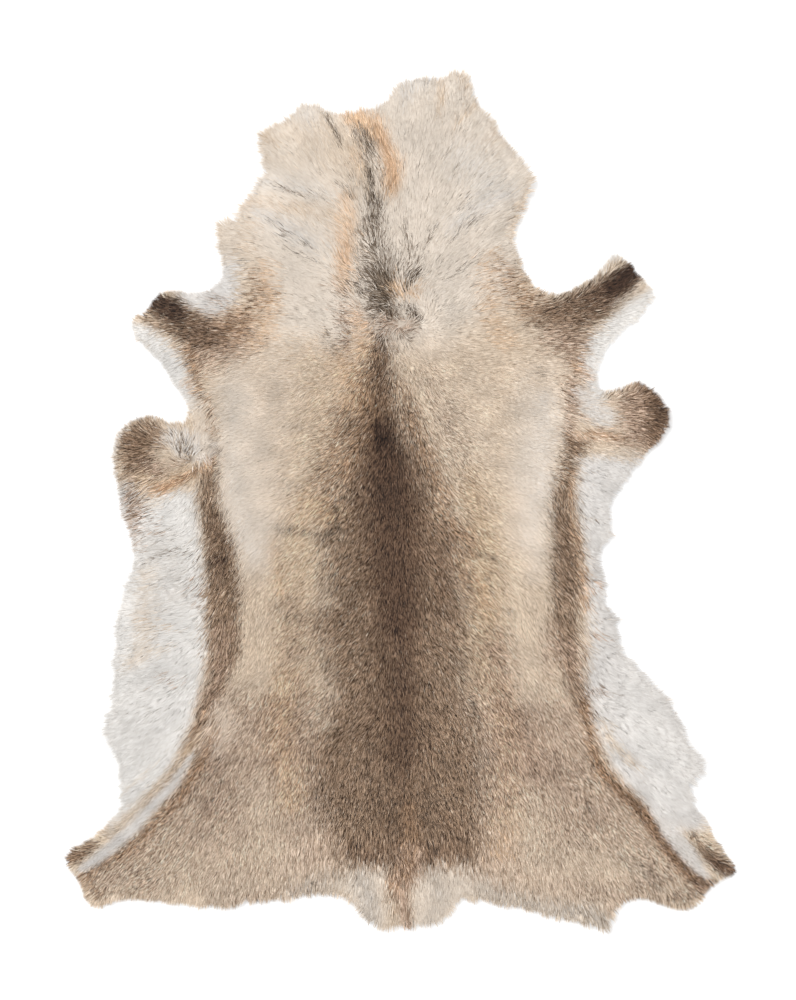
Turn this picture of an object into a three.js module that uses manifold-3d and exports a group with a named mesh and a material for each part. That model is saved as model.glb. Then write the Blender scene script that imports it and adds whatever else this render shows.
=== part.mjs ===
// A tanned reindeer hide, laid out flat on a surface with its hair side up.
//
// The animal was opened along the belly, so the back runs down the middle, the two halves of the
// belly are the left and right borders, and the skin of each leg stands out as a flap. The hide is
// one piece of skin, so it is one solid: skin and coat together, as far out and as high as the hair
// reaches. Its underside lies on z = 0 and lifts a little where the skin ruffles.
//
// Millimetres, +Z up, +Y towards the neck. The origin is the middle of the footprint, on the ground.

import * as THREE from 'three';
import { mergeVertices } from 'three/addons/utils/BufferGeometryUtils.js';
import Module from 'manifold-3d';

// ---- driving dimensions ----

// Places are given on the hide's own pattern: a grid whose unit is PATTERN_UNIT of real hide, with
// "across" counted to the right of the spine and "along" towards the neck. Heights are millimetres.
const PATTERN_UNIT = 1.4;
const GRID_STEP = 16; // spacing of the surface's vertices
const OUTLINE_STEP = 12; // spacing of the outline's vertices
const MARGIN = 20; // how far the uncut slab stands past the outline
const MIDDLE_COAT = 17; // height of skin and hair where no region says otherwise
const MIDDLE_PULL = 0.15; // how much MIDDLE_COAT counts beside the regions
const EDGE_COAT = 4; // height at the outline, where only hair tips lie
const ROLL_OFF = 48; // distance from the outline over which the coat gains its height
const LEAST_COAT = 3.5; // the solid is nowhere thinner than this
const LIFT_SINK = 0.6; // a lift's foot lies this far under the ground, so that only its hill shows
const FOLD_END = 0.18; // share of a fold's length over which each of its ends fades out
const FOLD_PIECES = 12; // straight pieces in a fold's middle line
const HILL_RINGS = 5; // facets of a lift's hill, from its top to its foot
const HILL_SIDES = 18; // and around it
const SLAB_DEPTH = 30; // how far the blocks that are cut reach below the ground
const WELD = 1e-3; // vertices closer than this are one

// ---- the outline, one named stretch after another, clockwise from the neck's left corner ----
// Columns: across, along (pattern units). A stretch is a smooth curve through its points, and each
// stretch starts where the one before it ends, so the hide has a corner there.

const STRETCHES = {
  neckCut: [
    [-140, 370], [-116, 380], [-100, 392], [-86, 398], [-67, 386], [-38, 390],
    [-10, 401], [4, 417], [18, 424], [33, 420], [48, 425], [65, 429],
  ],
  neckRight: [
    [65, 429], [73, 408], [87, 384], [105, 362], [123, 340], [131, 324],
    [128, 300], [114, 269], [119, 248], [126, 228], [138, 211],
  ],
  forelegRightTop: [
    [138, 211], [156, 206], [180, 215], [197, 226], [208, 240], [218, 248],
  ],
  forelegRightEnd: [
    [218, 248], [230, 237], [243, 220], [254, 208],
  ],
  forelegRightBelow: [
    [254, 208], [245, 190], [223, 170], [207, 152], [198, 132], [197, 107],
  ],
  elbowRight: [
    [197, 107], [217, 110], [233, 117], [248, 114], [261, 100], [271, 84],
    [264, 66], [250, 51], [234, 32], [221, 13], [209, 2],
  ],
  bellyRight: [
    [209, 2], [211, -34], [199, -57], [206, -78], [205, -108], [219, -126], [221, -150],
    [240, -171], [252, -189], [270, -199], [283, -227], [292, -252], [309, -268],
  ],
  hindlegRightTop: [
    [309, -268], [297, -278], [290, -298], [304, -318], [317, -342], [339, -373],
  ],
  hindlegRightEnd: [
    [339, -373], [318, -381], [305, -393], [299, -404], [280, -411],
  ],
  rumpRight: [
    [280, -411], [255, -402], [233, -399], [215, -411], [208, -429],
  ],
  rumpMiddle: [
    [208, -429], [180, -425], [140, -414], [100, -405], [66, -399], [54, -402],
  ],
  tail: [
    [54, -402], [50, -414], [37, -425], [12, -426], [-17, -428], [-36, -418], [-44, -402],
  ],
  rumpLeft: [
    [-44, -402], [-55, -395], [-80, -394], [-107, -399], [-150, -402],
    [-188, -408], [-225, -404], [-282, -400], [-303, -409],
  ],
  hindlegLeftEnd: [
    [-303, -409], [-314, -400], [-320, -382], [-333, -366], [-332, -354],
  ],
  hindlegLeftTop: [
    [-332, -354], [-302, -334], [-282, -312], [-275, -298],
  ],
  bellyLeft: [
    [-275, -298], [-280, -272], [-289, -244], [-295, -224], [-286, -198], [-287, -172],
    [-283, -140], [-282, -108], [-272, -86], [-267, -60], [-271, -30], [-281, -8],
  ],
  elbowLeft: [
    [-281, -8], [-283, 12], [-289, 42], [-284, 64], [-270, 79], [-248, 84], [-237, 78], [-213, 78],
  ],
  forelegLeftBelow: [
    [-213, 78], [-213, 95], [-225, 115], [-243, 142], [-257, 155], [-272, 177],
  ],
  forelegLeftEnd: [
    [-272, 177], [-251, 192], [-243, 207], [-233, 210],
  ],
  forelegLeftTop: [
    [-233, 210], [-215, 208], [-192, 211], [-174, 228],
  ],
  neckTabLeft: [
    [-174, 228], [-179, 244], [-183, 268], [-182, 279],
  ],
  neckLeft: [
    [-182, 279], [-159, 281], [-161, 298], [-144, 304], [-143, 316],
    [-134, 328], [-139, 348], [-140, 370],
  ],
};

// ---- how high the coat stands, region by region ----
// Columns: region, its middle (across, along), its half width and half length, the coat's height.

const REGIONS = [
  ['back', -5, -120, 120, 270, 20],
  ['neck', 0, 330, 130, 90, 24],
  ['mane', -15, 270, 35, 90, 27],
  ['shoulderLeft', -120, 160, 60, 60, 16],
  ['shoulderRight', 110, 160, 60, 60, 16],
  ['bellyLeft', -235, -120, 70, 190, 22],
  ['bellyRight', 215, -150, 60, 170, 22],
  ['forelegLeft', -230, 175, 65, 45, 9],
  ['forelegRight', 205, 195, 60, 55, 9],
  ['elbowLeft', -250, 40, 50, 45, 14],
  ['elbowRight', 240, 80, 40, 45, 14],
  ['hindlegLeft', -285, -365, 70, 50, 10],
  ['hindlegRight', 295, -365, 55, 50, 10],
  ['rump', 0, -370, 220, 60, 18],
  ['tail', 5, -405, 45, 30, 22],
];

// ---- folds, creases and ridges in the surface ----
// Columns: name, from (across, along), to (across, along), bow to the right of that line,
// half width (pattern units), rise in millimetres (a crease sinks, so it is negative).

const FOLDS = [
  ['hind fold, left crease', -165, -180, -320, -362, 24, 6, -6],
  ['hind fold, left ridge', -150, -185, -312, -376, 24, 11, 5],
  ['hind fold, right crease', 190, -195, 308, -372, -14, 7, -5],
  ['hind fold, right ridge', 178, -200, 292, -378, -14, 12, 5],
  ['elbow flap, left crease', -205, 100, -222, 8, -26, 8, -6],
  ['elbow flap, left ridge', -190, 62, -240, 8, -10, 11, 5],
  ['elbow flap, right crease', 190, 116, 172, 60, -8, 7, -6],
  ['elbow flap, right ridge', 168, 66, 252, 54, 6, 10, 5],
  ['armpit, left crease', -232, 202, -160, 198, -6, 6, -4],
  ['armpit, right crease', 150, 196, 205, 222, 4, 6, -3],
  ['neck wrinkle, left', -128, 312, -60, 298, 4, 6, -4],
  ['neck wrinkle, lower left', -132, 282, -88, 250, 3, 6, -4],
  ['neck wrinkle, right', 58, 284, 118, 322, 4, 7, -4],
  ['neck wrinkle, lower right', 42, 218, 78, 282, 6, 6, -4],
  ['mane parting', -32, 375, -12, 205, -8, 7, -4],
  ['flank crease, left', -248, -62, -198, -64, -8, 6, -4],
  ['back crease, left', -126, -30, -58, -32, 2, 7, -3],
  ['flank crease, right', 168, -196, 212, -186, 3, 7, -4],
  ['belly pleat, right', 172, -6, 210, -12, 2, 6, -3],
  ['spine', 8, 110, 10, -370, 3, 16, -2],
  ['shoulder swell, left', -178, 172, -90, 90, 12, 34, 3],
  ['shoulder swell, right', 176, 178, 95, 90, -12, 34, 3],
];

// ---- low hills over which the skin itself stands off the ground ----
// Columns: name, middle (across, along), half width, half length (pattern units), lift in millimetres.

const LIFTS = [
  ['elbow flap, left', -266, 45, 44, 42, 9],
  ['elbow flap, right', 256, 84, 38, 40, 9],
  ['belly border, left', -276, -235, 34, 66, 7],
  ['belly border, right', 292, -255, 44, 50, 8],
  ['neck border, right', 124, 328, 36, 50, 8],
  ['neck tab, left', -174, 262, 30, 34, 7],
  ['rump corner, right', 206, -420, 38, 28, 7],
];

// ---- slow unevenness of the whole surface ----
// Columns: wave length across, wave length along (pattern units), phase, height in millimetres.

const SWELLS = [
  [260, 190, 0.4, 0.7],
  [-120, 310, 2.1, 0.6],
  [85, -140, 4.0, 0.4],
  [-58, -66, 1.3, 0.25],
];

// ---- the outline as a smooth closed line ----

function stretchPoints(rows) {
  const corners = rows.map(([across, along]) => new THREE.Vector3(across, along, 0));
  corners.forEach((corner) => corner.multiplyScalar(PATTERN_UNIT));
  const curve = new THREE.CatmullRomCurve3(corners, false, 'centripetal');
  const count = Math.max(rows.length - 1, Math.round(curve.getLength() / OUTLINE_STEP));
  const points = curve.getSpacedPoints(count);
  return points.slice(0, -1).map((point) => new THREE.Vector2(point.x, point.y));
}

const outline = Object.values(STRETCHES).flatMap(stretchPoints);

// ---- heights over the pattern ----

const place = new THREE.Vector2();
const nearest = new THREE.Vector2();

function distanceToSegment(point, start, end) {
  nearest.subVectors(end, start);
  place.subVectors(point, start);
  const share = THREE.MathUtils.clamp(place.dot(nearest) / nearest.lengthSq(), 0, 1);
  return place.addScaledVector(nearest, -share).length();
}

function distanceToOutline(point) {
  let least = Infinity;
  outline.forEach((start, index) => {
    const end = outline[(index + 1) % outline.length];
    least = Math.min(least, distanceToSegment(point, start, end));
  });
  return least;
}

function bell(across, along, halfWidth, halfLength) {
  return Math.exp(-((across / halfWidth) ** 2) - (along / halfLength) ** 2);
}

function coatHeight(across, along) {
  let weights = MIDDLE_PULL;
  let sum = MIDDLE_PULL * MIDDLE_COAT;
  for (const [, middleAcross, middleAlong, halfWidth, halfLength, height] of REGIONS) {
    const weight = bell(across - middleAcross, along - middleAlong, halfWidth, halfLength);
    weights += weight;
    sum += weight * height;
  }
  return sum / weights;
}

// A fold's middle line is a quadratic curve, kept as straight pieces.
const folds = FOLDS.map(([, fromAcross, fromAlong, toAcross, toAlong, bow, halfWidth, rise]) => {
  const from = new THREE.Vector2(fromAcross, fromAlong);
  const to = new THREE.Vector2(toAcross, toAlong);
  const direction = new THREE.Vector2().subVectors(to, from).normalize();
  const middle = new THREE.Vector2().addVectors(from, to).multiplyScalar(0.5);
  middle.x += direction.y * bow * 2;
  middle.y -= direction.x * bow * 2;
  const line = new THREE.QuadraticBezierCurve(from, middle, to).getPoints(FOLD_PIECES);
  return { line, halfWidth, rise };
});

function foldHeight(point) {
  let height = 0;
  for (const { line, halfWidth, rise } of folds) {
    let least = Infinity;
    let share = 0;
    for (let piece = 0; piece < FOLD_PIECES; piece += 1) {
      const distance = distanceToSegment(point, line[piece], line[piece + 1]);
      if (distance < least) {
        least = distance;
        share = (piece + 0.5) / FOLD_PIECES;
      }
    }
    const fade = Math.min(1, Math.min(share, 1 - share) / FOLD_END);
    height += rise * fade * Math.exp(-((least / halfWidth) ** 2));
  }
  return height;
}

// A hill's height at a share of the way from its top, 0, to its foot, 1.
function hillHeight(lift, share) {
  return (lift * (1 + Math.cos(Math.PI * Math.min(1, share)))) / 2 - LIFT_SINK;
}

function liftHeight(across, along) {
  let height = 0;
  for (const [, middleAcross, middleAlong, halfWidth, halfLength, lift] of LIFTS) {
    const share = Math.hypot((across - middleAcross) / halfWidth, (along - middleAlong) / halfLength);
    height = Math.max(height, hillHeight(lift, share));
  }
  return height;
}

function swellHeight(across, along) {
  let height = 0;
  for (const [waveAcross, waveAlong, phase, rise] of SWELLS) {
    height += rise * Math.sin(2 * Math.PI * (across / waveAcross + along / waveAlong) + phase);
  }
  return height;
}

// The share of the full coat at a place: nothing at the outline, all of it ROLL_OFF further in.
function fullness(point) {
  const inward = Math.min(1, distanceToOutline(point) / ROLL_OFF);
  return Math.sin((inward * Math.PI) / 2);
}

function topHeight(x, y) {
  const point = new THREE.Vector2(x, y);
  const share = fullness(point);
  point.divideScalar(PATTERN_UNIT);
  const body = coatHeight(point.x, point.y) - EDGE_COAT + swellHeight(point.x, point.y);
  const coat = EDGE_COAT + share * (body + foldHeight(point));
  return liftHeight(point.x, point.y) + Math.max(LEAST_COAT, coat);
}

// ---- solids ----

const wasm = await Module();
wasm.setup();

function toSolid(geometry) {
  geometry.deleteAttribute('normal');
  geometry.deleteAttribute('uv');
  const merged = mergeVertices(geometry, WELD);
  const vertProperties = new Float32Array(merged.attributes.position.array);
  const triVerts = new Uint32Array(merged.index.array);
  return new wasm.Manifold(new wasm.Mesh({ numProp: 3, vertProperties, triVerts }));
}

function toGeometry(solid) {
  const mesh = solid.getMesh();
  const geometry = new THREE.BufferGeometry();
  geometry.setAttribute('position', new THREE.BufferAttribute(new Float32Array(mesh.vertProperties), 3));
  geometry.setIndex(new THREE.BufferAttribute(new Uint32Array(mesh.triVerts), 1));
  geometry.computeVertexNormals();
  return geometry;
}

// A slab with the hide's upper surface, a little larger than the hide and deeper than its underside.
function unevenSlab(box) {
  const size = box.getSize(new THREE.Vector2());
  const middle = box.getCenter(new THREE.Vector2());
  const steps = size.clone().divideScalar(GRID_STEP).round();
  const slab = new THREE.BoxGeometry(size.x, size.y, SLAB_DEPTH, steps.x, steps.y, 1);
  slab.translate(middle.x, middle.y, -SLAB_DEPTH / 2);
  const position = slab.attributes.position;
  for (let index = 0; index < position.count; index += 1) {
    if (position.getZ(index) === 0) {
      position.setZ(index, topHeight(position.getX(index), position.getY(index)));
    }
  }
  return slab;
}

// An upright block with the hide's outline, taller than the slab both ways.
function outlineBlock() {
  const block = new THREE.ExtrudeGeometry(new THREE.Shape(outline), {
    depth: 4 * SLAB_DEPTH,
    steps: 1,
    bevelEnabled: false,
  });
  block.translate(0, 0, -2 * SLAB_DEPTH);
  return block;
}

// One hill of the ground, turned about its own upright axis and then drawn out to its two widths.
function hill(middleAcross, middleAlong, halfWidth, halfLength, lift) {
  const profile = [new THREE.Vector2(0, -SLAB_DEPTH), new THREE.Vector2(1, -SLAB_DEPTH)];
  for (let ring = HILL_RINGS; ring >= 0; ring -= 1) {
    const share = ring / HILL_RINGS;
    profile.push(new THREE.Vector2(share, hillHeight(lift, share)));
  }
  const body = new THREE.LatheGeometry(profile, HILL_SIDES);
  body.rotateX(Math.PI / 2);
  body.scale(halfWidth * PATTERN_UNIT, halfLength * PATTERN_UNIT, 1);
  body.translate(middleAcross * PATTERN_UNIT, middleAlong * PATTERN_UNIT, 0);
  return body;
}

// The flat ground with its hills: what is cut away from under the slab.
function ground(box) {
  const size = box.getSize(new THREE.Vector2()).multiplyScalar(2);
  const middle = box.getCenter(new THREE.Vector2());
  const flat = new THREE.BoxGeometry(size.x, size.y, 2 * SLAB_DEPTH);
  flat.translate(middle.x, middle.y, -SLAB_DEPTH);
  let solid = toSolid(flat);
  for (const [, ...sizes] of LIFTS) {
    solid = solid.add(toSolid(hill(...sizes)));
  }
  return solid;
}

function makeHide() {
  const box = new THREE.Box2().setFromPoints(outline).expandByScalar(MARGIN);
  const slab = toSolid(unevenSlab(box)).intersect(toSolid(outlineBlock()));
  const hide = toGeometry(slab.subtract(ground(box)));
  hide.computeBoundingBox();
  const middle = hide.boundingBox.getCenter(new THREE.Vector3());
  hide.translate(-middle.x, -middle.y, 0);
  const hair = new THREE.MeshStandardMaterial({ color: 0xc4a98c, roughness: 0.95, metalness: 0 });
  const mesh = new THREE.Mesh(hide, hair);
  mesh.name = 'hide';
  return mesh;
}

const part = new THREE.Group();
part.add(makeHide());

export default part;
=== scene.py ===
"""A tanned reindeer hide laid flat, hair side up: one soft skin that carries its own coat."""
import math
import bmesh
import bpy
import numpy as np
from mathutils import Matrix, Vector
from mathutils.bvhtree import BVHTree


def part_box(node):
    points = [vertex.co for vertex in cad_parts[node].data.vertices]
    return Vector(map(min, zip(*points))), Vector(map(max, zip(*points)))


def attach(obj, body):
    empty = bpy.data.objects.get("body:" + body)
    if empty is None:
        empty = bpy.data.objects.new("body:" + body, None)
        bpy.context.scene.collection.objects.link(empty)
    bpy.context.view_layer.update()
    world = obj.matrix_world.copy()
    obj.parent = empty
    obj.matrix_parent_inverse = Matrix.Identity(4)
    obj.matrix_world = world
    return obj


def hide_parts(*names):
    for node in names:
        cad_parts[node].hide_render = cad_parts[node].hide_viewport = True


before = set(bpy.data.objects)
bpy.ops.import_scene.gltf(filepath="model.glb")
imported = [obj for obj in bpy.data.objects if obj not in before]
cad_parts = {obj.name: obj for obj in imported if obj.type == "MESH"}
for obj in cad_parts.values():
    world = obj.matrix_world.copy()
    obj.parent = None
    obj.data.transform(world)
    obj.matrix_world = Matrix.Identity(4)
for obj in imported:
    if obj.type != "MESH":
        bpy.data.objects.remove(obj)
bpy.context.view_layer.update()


# Skin. The tanned hide itself: one piece of soft leather a little under 2 mm thick, flesh
# side down. It was cut open along the belly and trimmed round the legs, the neck and the tail,
# and it lies flat apart from a few low ruffles near its borders.

SKIN_THICKNESS = 0.0018
SKIN_MARGIN = 0.009          # the hair reaches this far past the skin's cut edge
MARGIN_FADE = 0.040          # the cut edge is drawn in without moving what lies deeper than this
SHORTEST_EDGE = 0.0015       # corners that end up closer than this become one
UPWARD = 0.3                 # a face belongs to the hair side if it points up at least this much
MAP_STEP = 0.004             # spacing of the readings taken of the hide's height
MAP_RIM = 0.060              # the readings go on this far round the hide
SAME_PLACE = 1e-6            # corners of the solid this close together are one
EASING_PASSES = 12

solid = bmesh.new()
solid.from_mesh(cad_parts["hide"].data)
bmesh.ops.remove_doubles(solid, verts=solid.verts, dist=SAME_PLACE)
solid_tree = BVHTree.FromBMesh(solid)
hide_low, hide_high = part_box("hide")
map_x = np.arange(hide_low.x - MAP_RIM, hide_high.x + MAP_RIM, MAP_STEP)
map_y = np.arange(hide_low.y - MAP_RIM, hide_high.y + MAP_RIM, MAP_STEP)


def ray_height(x, y, from_z, down):
    """Height at which a plumb line meets the hide, or nan where it misses."""
    hit = solid_tree.ray_cast(Vector((x, y, from_z)), Vector((0, 0, down)))[0]
    return math.nan if hit is None else hit.z


def neighbours(values):
    """Sum of each reading and the eight round it."""
    wide = np.pad(values, 1, mode="edge")
    rows, columns = values.shape
    return sum(wide[r:r + rows, c:c + columns] for r in range(3) for c in range(3))


def filled(values, spread=18, passes=2):
    """Carries the readings outwards past the hide's border, then takes the facets out of them."""
    known = ~np.isnan(values)
    carried = np.where(known, values, 0.0)
    weights = known.astype(float)
    for _ in range(spread):
        total = neighbours(carried * weights)
        count = neighbours(weights)
        new = (weights == 0) & (count > 0)
        carried[new] = total[new] / count[new]
        weights[new] = 1.0
    for _ in range(passes):
        carried = neighbours(carried) / 9
    return carried


def read(values, x, y):
    """The reading at any place, between the four nearest ones."""
    column = np.clip((x - map_x[0]) / MAP_STEP, 0, len(map_x) - 1.001)
    row = np.clip((y - map_y[0]) / MAP_STEP, 0, len(map_y) - 1.001)
    c = column.astype(int)
    r = row.astype(int)
    u = column - c
    v = row - r
    near = values[r, c] * (1 - u) + values[r, c + 1] * u
    far = values[r + 1, c] * (1 - u) + values[r + 1, c + 1] * u
    return near * (1 - v) + far * v


def distance_to(points, ends):
    """Distance from each point to the nearest of the straight pieces in ends."""
    start = ends[:, 0]
    along = ends[:, 1] - start
    square = np.maximum((along ** 2).sum(1), 1e-18)
    offset = points[:, None] - start
    share = np.clip((offset * along).sum(2) / square, 0, 1)
    return np.sqrt(((offset - share[..., None] * along) ** 2).sum(2).min(1))


raw_top = np.array([
    [ray_height(x, y, from_z=1, down=-1) for x in map_x] for y in map_y
])
raw_under = np.array([
    [ray_height(x, y, from_z=-1, down=1) for x in map_x] for y in map_y
])
on_hide = ~np.isnan(raw_top)
top_map = filled(raw_top)
under_map = filled(raw_under)
border = np.array([
    [vert.co[:2] for vert in edge.verts]
    for edge in solid.edges
    if len({face.normal.z > UPWARD for face in edge.link_faces}) == 2
])
depth_map = np.array([
    distance_to(np.column_stack((map_x, np.full(len(map_x), y))), border) for y in map_y
])
depth_map = np.where(on_hide, depth_map, -depth_map)
slope_y, slope_x = np.gradient(depth_map, MAP_STEP)
slope_x = neighbours(slope_x) / 9
slope_y = neighbours(slope_y) / 9


def draw_in(body, margin, steps=3, least_slope=0.5):
    """Draws the border of a copy of the hide inwards by a margin, a little at a time, and less
    where the way inwards is unclear."""
    places = np.array([vert.co[:2] for vert in body.verts])
    depth = read(depth_map, places[:, 0], places[:, 1])
    share = np.clip(1 - depth / MARGIN_FADE, 0, 1)[:, None]
    for _ in range(steps):
        inwards = np.column_stack([
            read(slope, places[:, 0], places[:, 1]) for slope in (slope_x, slope_y)
        ])
        inwards /= np.maximum(np.linalg.norm(inwards, axis=1, keepdims=True), least_slope)
        places = places + inwards * share * margin / steps
    for vert, (x, y) in zip(body.verts, places):
        vert.co.x = x
        vert.co.y = y
    bmesh.ops.remove_doubles(body, verts=body.verts, dist=SHORTEST_EDGE)


def heights(body, values):
    """Readings of one height map at the vertices of a copy of the hide."""
    places = np.array([vert.co[:2] for vert in body.verts])
    return read(values, places[:, 0], places[:, 1])


def make_piece(body, name):
    """Turns a finished bmesh into an object of the scene."""
    mesh = bpy.data.meshes.new(name)
    body.to_mesh(mesh)
    body.free()
    piece = bpy.data.objects.new(name, mesh)
    bpy.context.scene.collection.objects.link(piece)
    return piece


def new_material(name):
    """A node material, with its nodes, its links and its shader."""
    material = bpy.data.materials.new(name)
    material.use_nodes = True
    nodes = material.node_tree.nodes
    shader = nodes["Principled BSDF"]
    return material, nodes, material.node_tree.links, shader


def colour_steps(nodes, stops):
    """A colour ramp with the given (position, linear colour) stops."""
    ramp = nodes.new("ShaderNodeValToRGB")
    elements = ramp.color_ramp.elements
    elements[0].position, elements[1].position = stops[0][0], stops[-1][0]
    for position, _ in stops[1:-1]:
        elements.new(position)
    for element, (_, colour) in zip(elements, stops):
        element.color = (*colour, 1)
    return ramp


def noise(nodes, links, scale, detail=3, stretch=(1, 1, 1)):
    """Noise on the object's own coordinates."""
    place = nodes.new("ShaderNodeTexCoord")
    mapping = nodes.new("ShaderNodeMapping")
    mapping.inputs["Scale"].default_value = stretch
    texture = nodes.new("ShaderNodeTexNoise")
    texture.inputs["Scale"].default_value = scale
    texture.inputs["Detail"].default_value = detail
    links.new(place.outputs["Object"], mapping.inputs["Vector"])
    links.new(mapping.outputs["Vector"], texture.inputs["Vector"])
    return texture


def multiplied(nodes, links, base, shade):
    """Product of two colours."""
    tinted = nodes.new("ShaderNodeMix")
    tinted.data_type = "RGBA"
    tinted.blend_type = "MULTIPLY"
    tinted.inputs["Factor"].default_value = 1
    links.new(base, tinted.inputs["A"])
    links.new(shade, tinted.inputs["B"])
    return tinted.outputs["Result"]


def nap(nodes, links, shader, texture, strength, distance):
    """Raises a fine grain on the surface."""
    bump = nodes.new("ShaderNodeBump")
    bump.inputs["Strength"].default_value = strength
    bump.inputs["Distance"].default_value = distance
    links.new(texture.outputs["Fac"], bump.inputs["Height"])
    links.new(bump.outputs["Normal"], shader.inputs["Normal"])


def suede():
    """Undyed flesh side: pale, napped, faintly clouded and veined."""
    material, nodes, links, shader = new_material("flesh side suede")
    clouds = noise(nodes, links, scale=9, detail=4)
    shades = colour_steps(nodes, [
        (0.30, (0.56, 0.46, 0.34)),
        (0.52, (0.66, 0.57, 0.44)),
        (0.72, (0.73, 0.66, 0.54)),
    ])
    links.new(clouds.outputs["Fac"], shades.inputs["Fac"])
    veins = noise(nodes, links, scale=14, detail=2, stretch=(1, 0.35, 1))
    vein_lines = colour_steps(nodes, [
        (0.470, (1, 1, 1)),
        (0.495, (0.86, 0.82, 0.78)),
        (0.520, (1, 1, 1)),
    ])
    links.new(veins.outputs["Fac"], vein_lines.inputs["Fac"])
    colour = multiplied(nodes, links, shades.outputs["Color"], vein_lines.outputs["Color"])
    links.new(colour, shader.inputs["Base Color"])
    grain = noise(nodes, links, scale=900)
    nap(nodes, links, shader, grain, strength=0.35, distance=0.0006)
    shader.inputs["Roughness"].default_value = 0.92
    shader.inputs["Specular IOR Level"].default_value = 0.2
    shader.inputs["Sheen Weight"].default_value = 0.15
    return material


leather = solid.copy()
flesh_faces = [face for face in leather.faces if face.normal.z <= UPWARD]
bmesh.ops.delete(leather, geom=flesh_faces, context="FACES")
for vert, height in zip(leather.verts, heights(leather, under_map)):
    vert.co.z = max(height, 0)
draw_in(leather, SKIN_MARGIN)
# Narrow tips that folded over while they were drawn in are eased flat again, or trimmed off.
for _ in range(EASING_PASSES):
    leather.normal_update()
    folded = {vert for face in leather.faces if face.normal.z < UPWARD for vert in face.verts}
    bmesh.ops.smooth_vert(leather, verts=list(folded), factor=0.5, use_axis_x=True, use_axis_y=True)
leather.normal_update()
folded = [face for face in leather.faces if face.normal.z < UPWARD]
bmesh.ops.delete(leather, geom=folded, context="FACES")
for face in leather.faces:
    face.smooth = True
skin_area = sum(face.calc_area() for face in leather.faces)
skin = make_piece(leather, "hide_skin")
solidify = skin.modifiers.new("leather thickness", "SOLIDIFY")
solidify.thickness = SKIN_THICKNESS
solidify.offset = 1
skin.data.materials.append(suede())
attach(skin, "root")
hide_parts("hide")


# Undercoat. The dense woolly underfur that grows all over the skin and holds the longer hair
# up. It fills the coat to a few millimetres below its top and takes the colour of the hair above
# it, darkened all over by painted shade for the shadow it lies in under the hair.

UNIT = 0.0014                # one unit of the hide's pattern, in metres
MIDDLE = 3                   # the frame's middle line, in units across the pattern
FUR_LIFT = 0.0011            # the underfur's roots, above the flesh side
FUR_SHARE = 0.55             # the underfur's height as a share of the coat's, at least
FUR_DEPTH = 0.0024           # how far the underfur's top lies below the coat's, at most
FUR_INSET = 0.001            # the underfur ends this far inside the skin's cut edge
UNDERFUR_PAINTED_SHADE = 0.88            # painted shade: the underfur's brightness against the hair above it, for its shadow
FUR_SEED = 5
LOCKS_ALIKE = 0.30           # share of hairs that take a colour together with their lock

# Hair colours, as red, green and blue of 255.
COLOURS = {
    "white": (224, 221, 217),
    "pale grey": (212, 208, 204),
    "ivory": (220, 209, 196),
    "cream": (217, 204, 189),
    "sand": (206, 189, 169),
    "tan": (194, 171, 145),
    "dun": (181, 160, 141),
    "ginger": (204, 172, 139),
    "rust": (182, 148, 118),
    "ash": (187, 177, 166),
    "fawn": (162, 138, 119),
    "drab": (148, 127, 110),
    "chestnut": (142, 113, 87),
    "brown": (129, 107, 87),
    "umber": (106, 84, 66),
    "bark": (88, 67, 52),
    "black brown": (62, 44, 33),
    "slate": (130, 117, 104),
    "charcoal": (98, 85, 72),
}

# Markings, laid over each other from first to last. Columns: colour, strength, width of the soft
# edge, share of single hairs against an even tint, and the places (across, along) in units of
# the pattern from its middle. A marking with a third number in each place is a streak of that
# half width. One without is the whole patch inside those places.
GROUND = [
    ("ivory", 1, 24, 0.2, [(-145, 405), (80, 440), (145, 320), (120, 250), (100, 200), (40, 155),
        (-70, 150), (-120, 160), (-138, 240), (-175, 240), (-185, 285), (-150, 350)]),
    ("cream", 0.6, 16, 0.3, [(-150, 150, 14), (-165, 120, 16), (-170, 90, 15)]),
    ("cream", 0.6, 16, 0.3, [(150, 130, 12), (155, 100, 14), (148, 60, 16)]),
    ("cream", 0.35, 22, 0.6, [(-150, 145, 22), (-125, 115, 24), (-130, 80, 20)]),
    ("sand", 0.3, 22, 0.6, [(70, 130, 20), (80, 80, 24), (85, 40, 20)]),
    ("tan", 0.25, 22, 0.8, [(-120, 155), (-65, 160), (-60, 20), (-130, 10), (-125, 90)]),
    ("cream", 0.15, 22, 0.6, [(30, 140), (120, 130), (110, 20), (60, 40)]),
    ("tan", 0.6, 18, 0.7, [(-98, 0, 14), (-100, -60, 20), (-108, -140, 22), (-105, -200, 26)]),
    ("tan", 0.95, 18, 0.7, [(70, 20, 10), (84, -50, 18), (86, -140, 20), (90, -200, 22)]),
    ("dun", 0.9, 20, 0.7, [(-185, -190), (180, -190), (200, -260), (240, -320), (300, -390), (220, -405),
        (50, -380), (-50, -370), (-290, -395), (-310, -380), (-250, -320), (-210, -260)]),
    ("sand", 0.5, 22, 0.7, [(-140, -300, 18), (-130, -350, 22), (-230, -370, 14)]),
    ("sand", 0.6, 22, 0.7, [(120, -320, 22), (140, -360, 22), (220, -365, 14)]),
]
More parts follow.
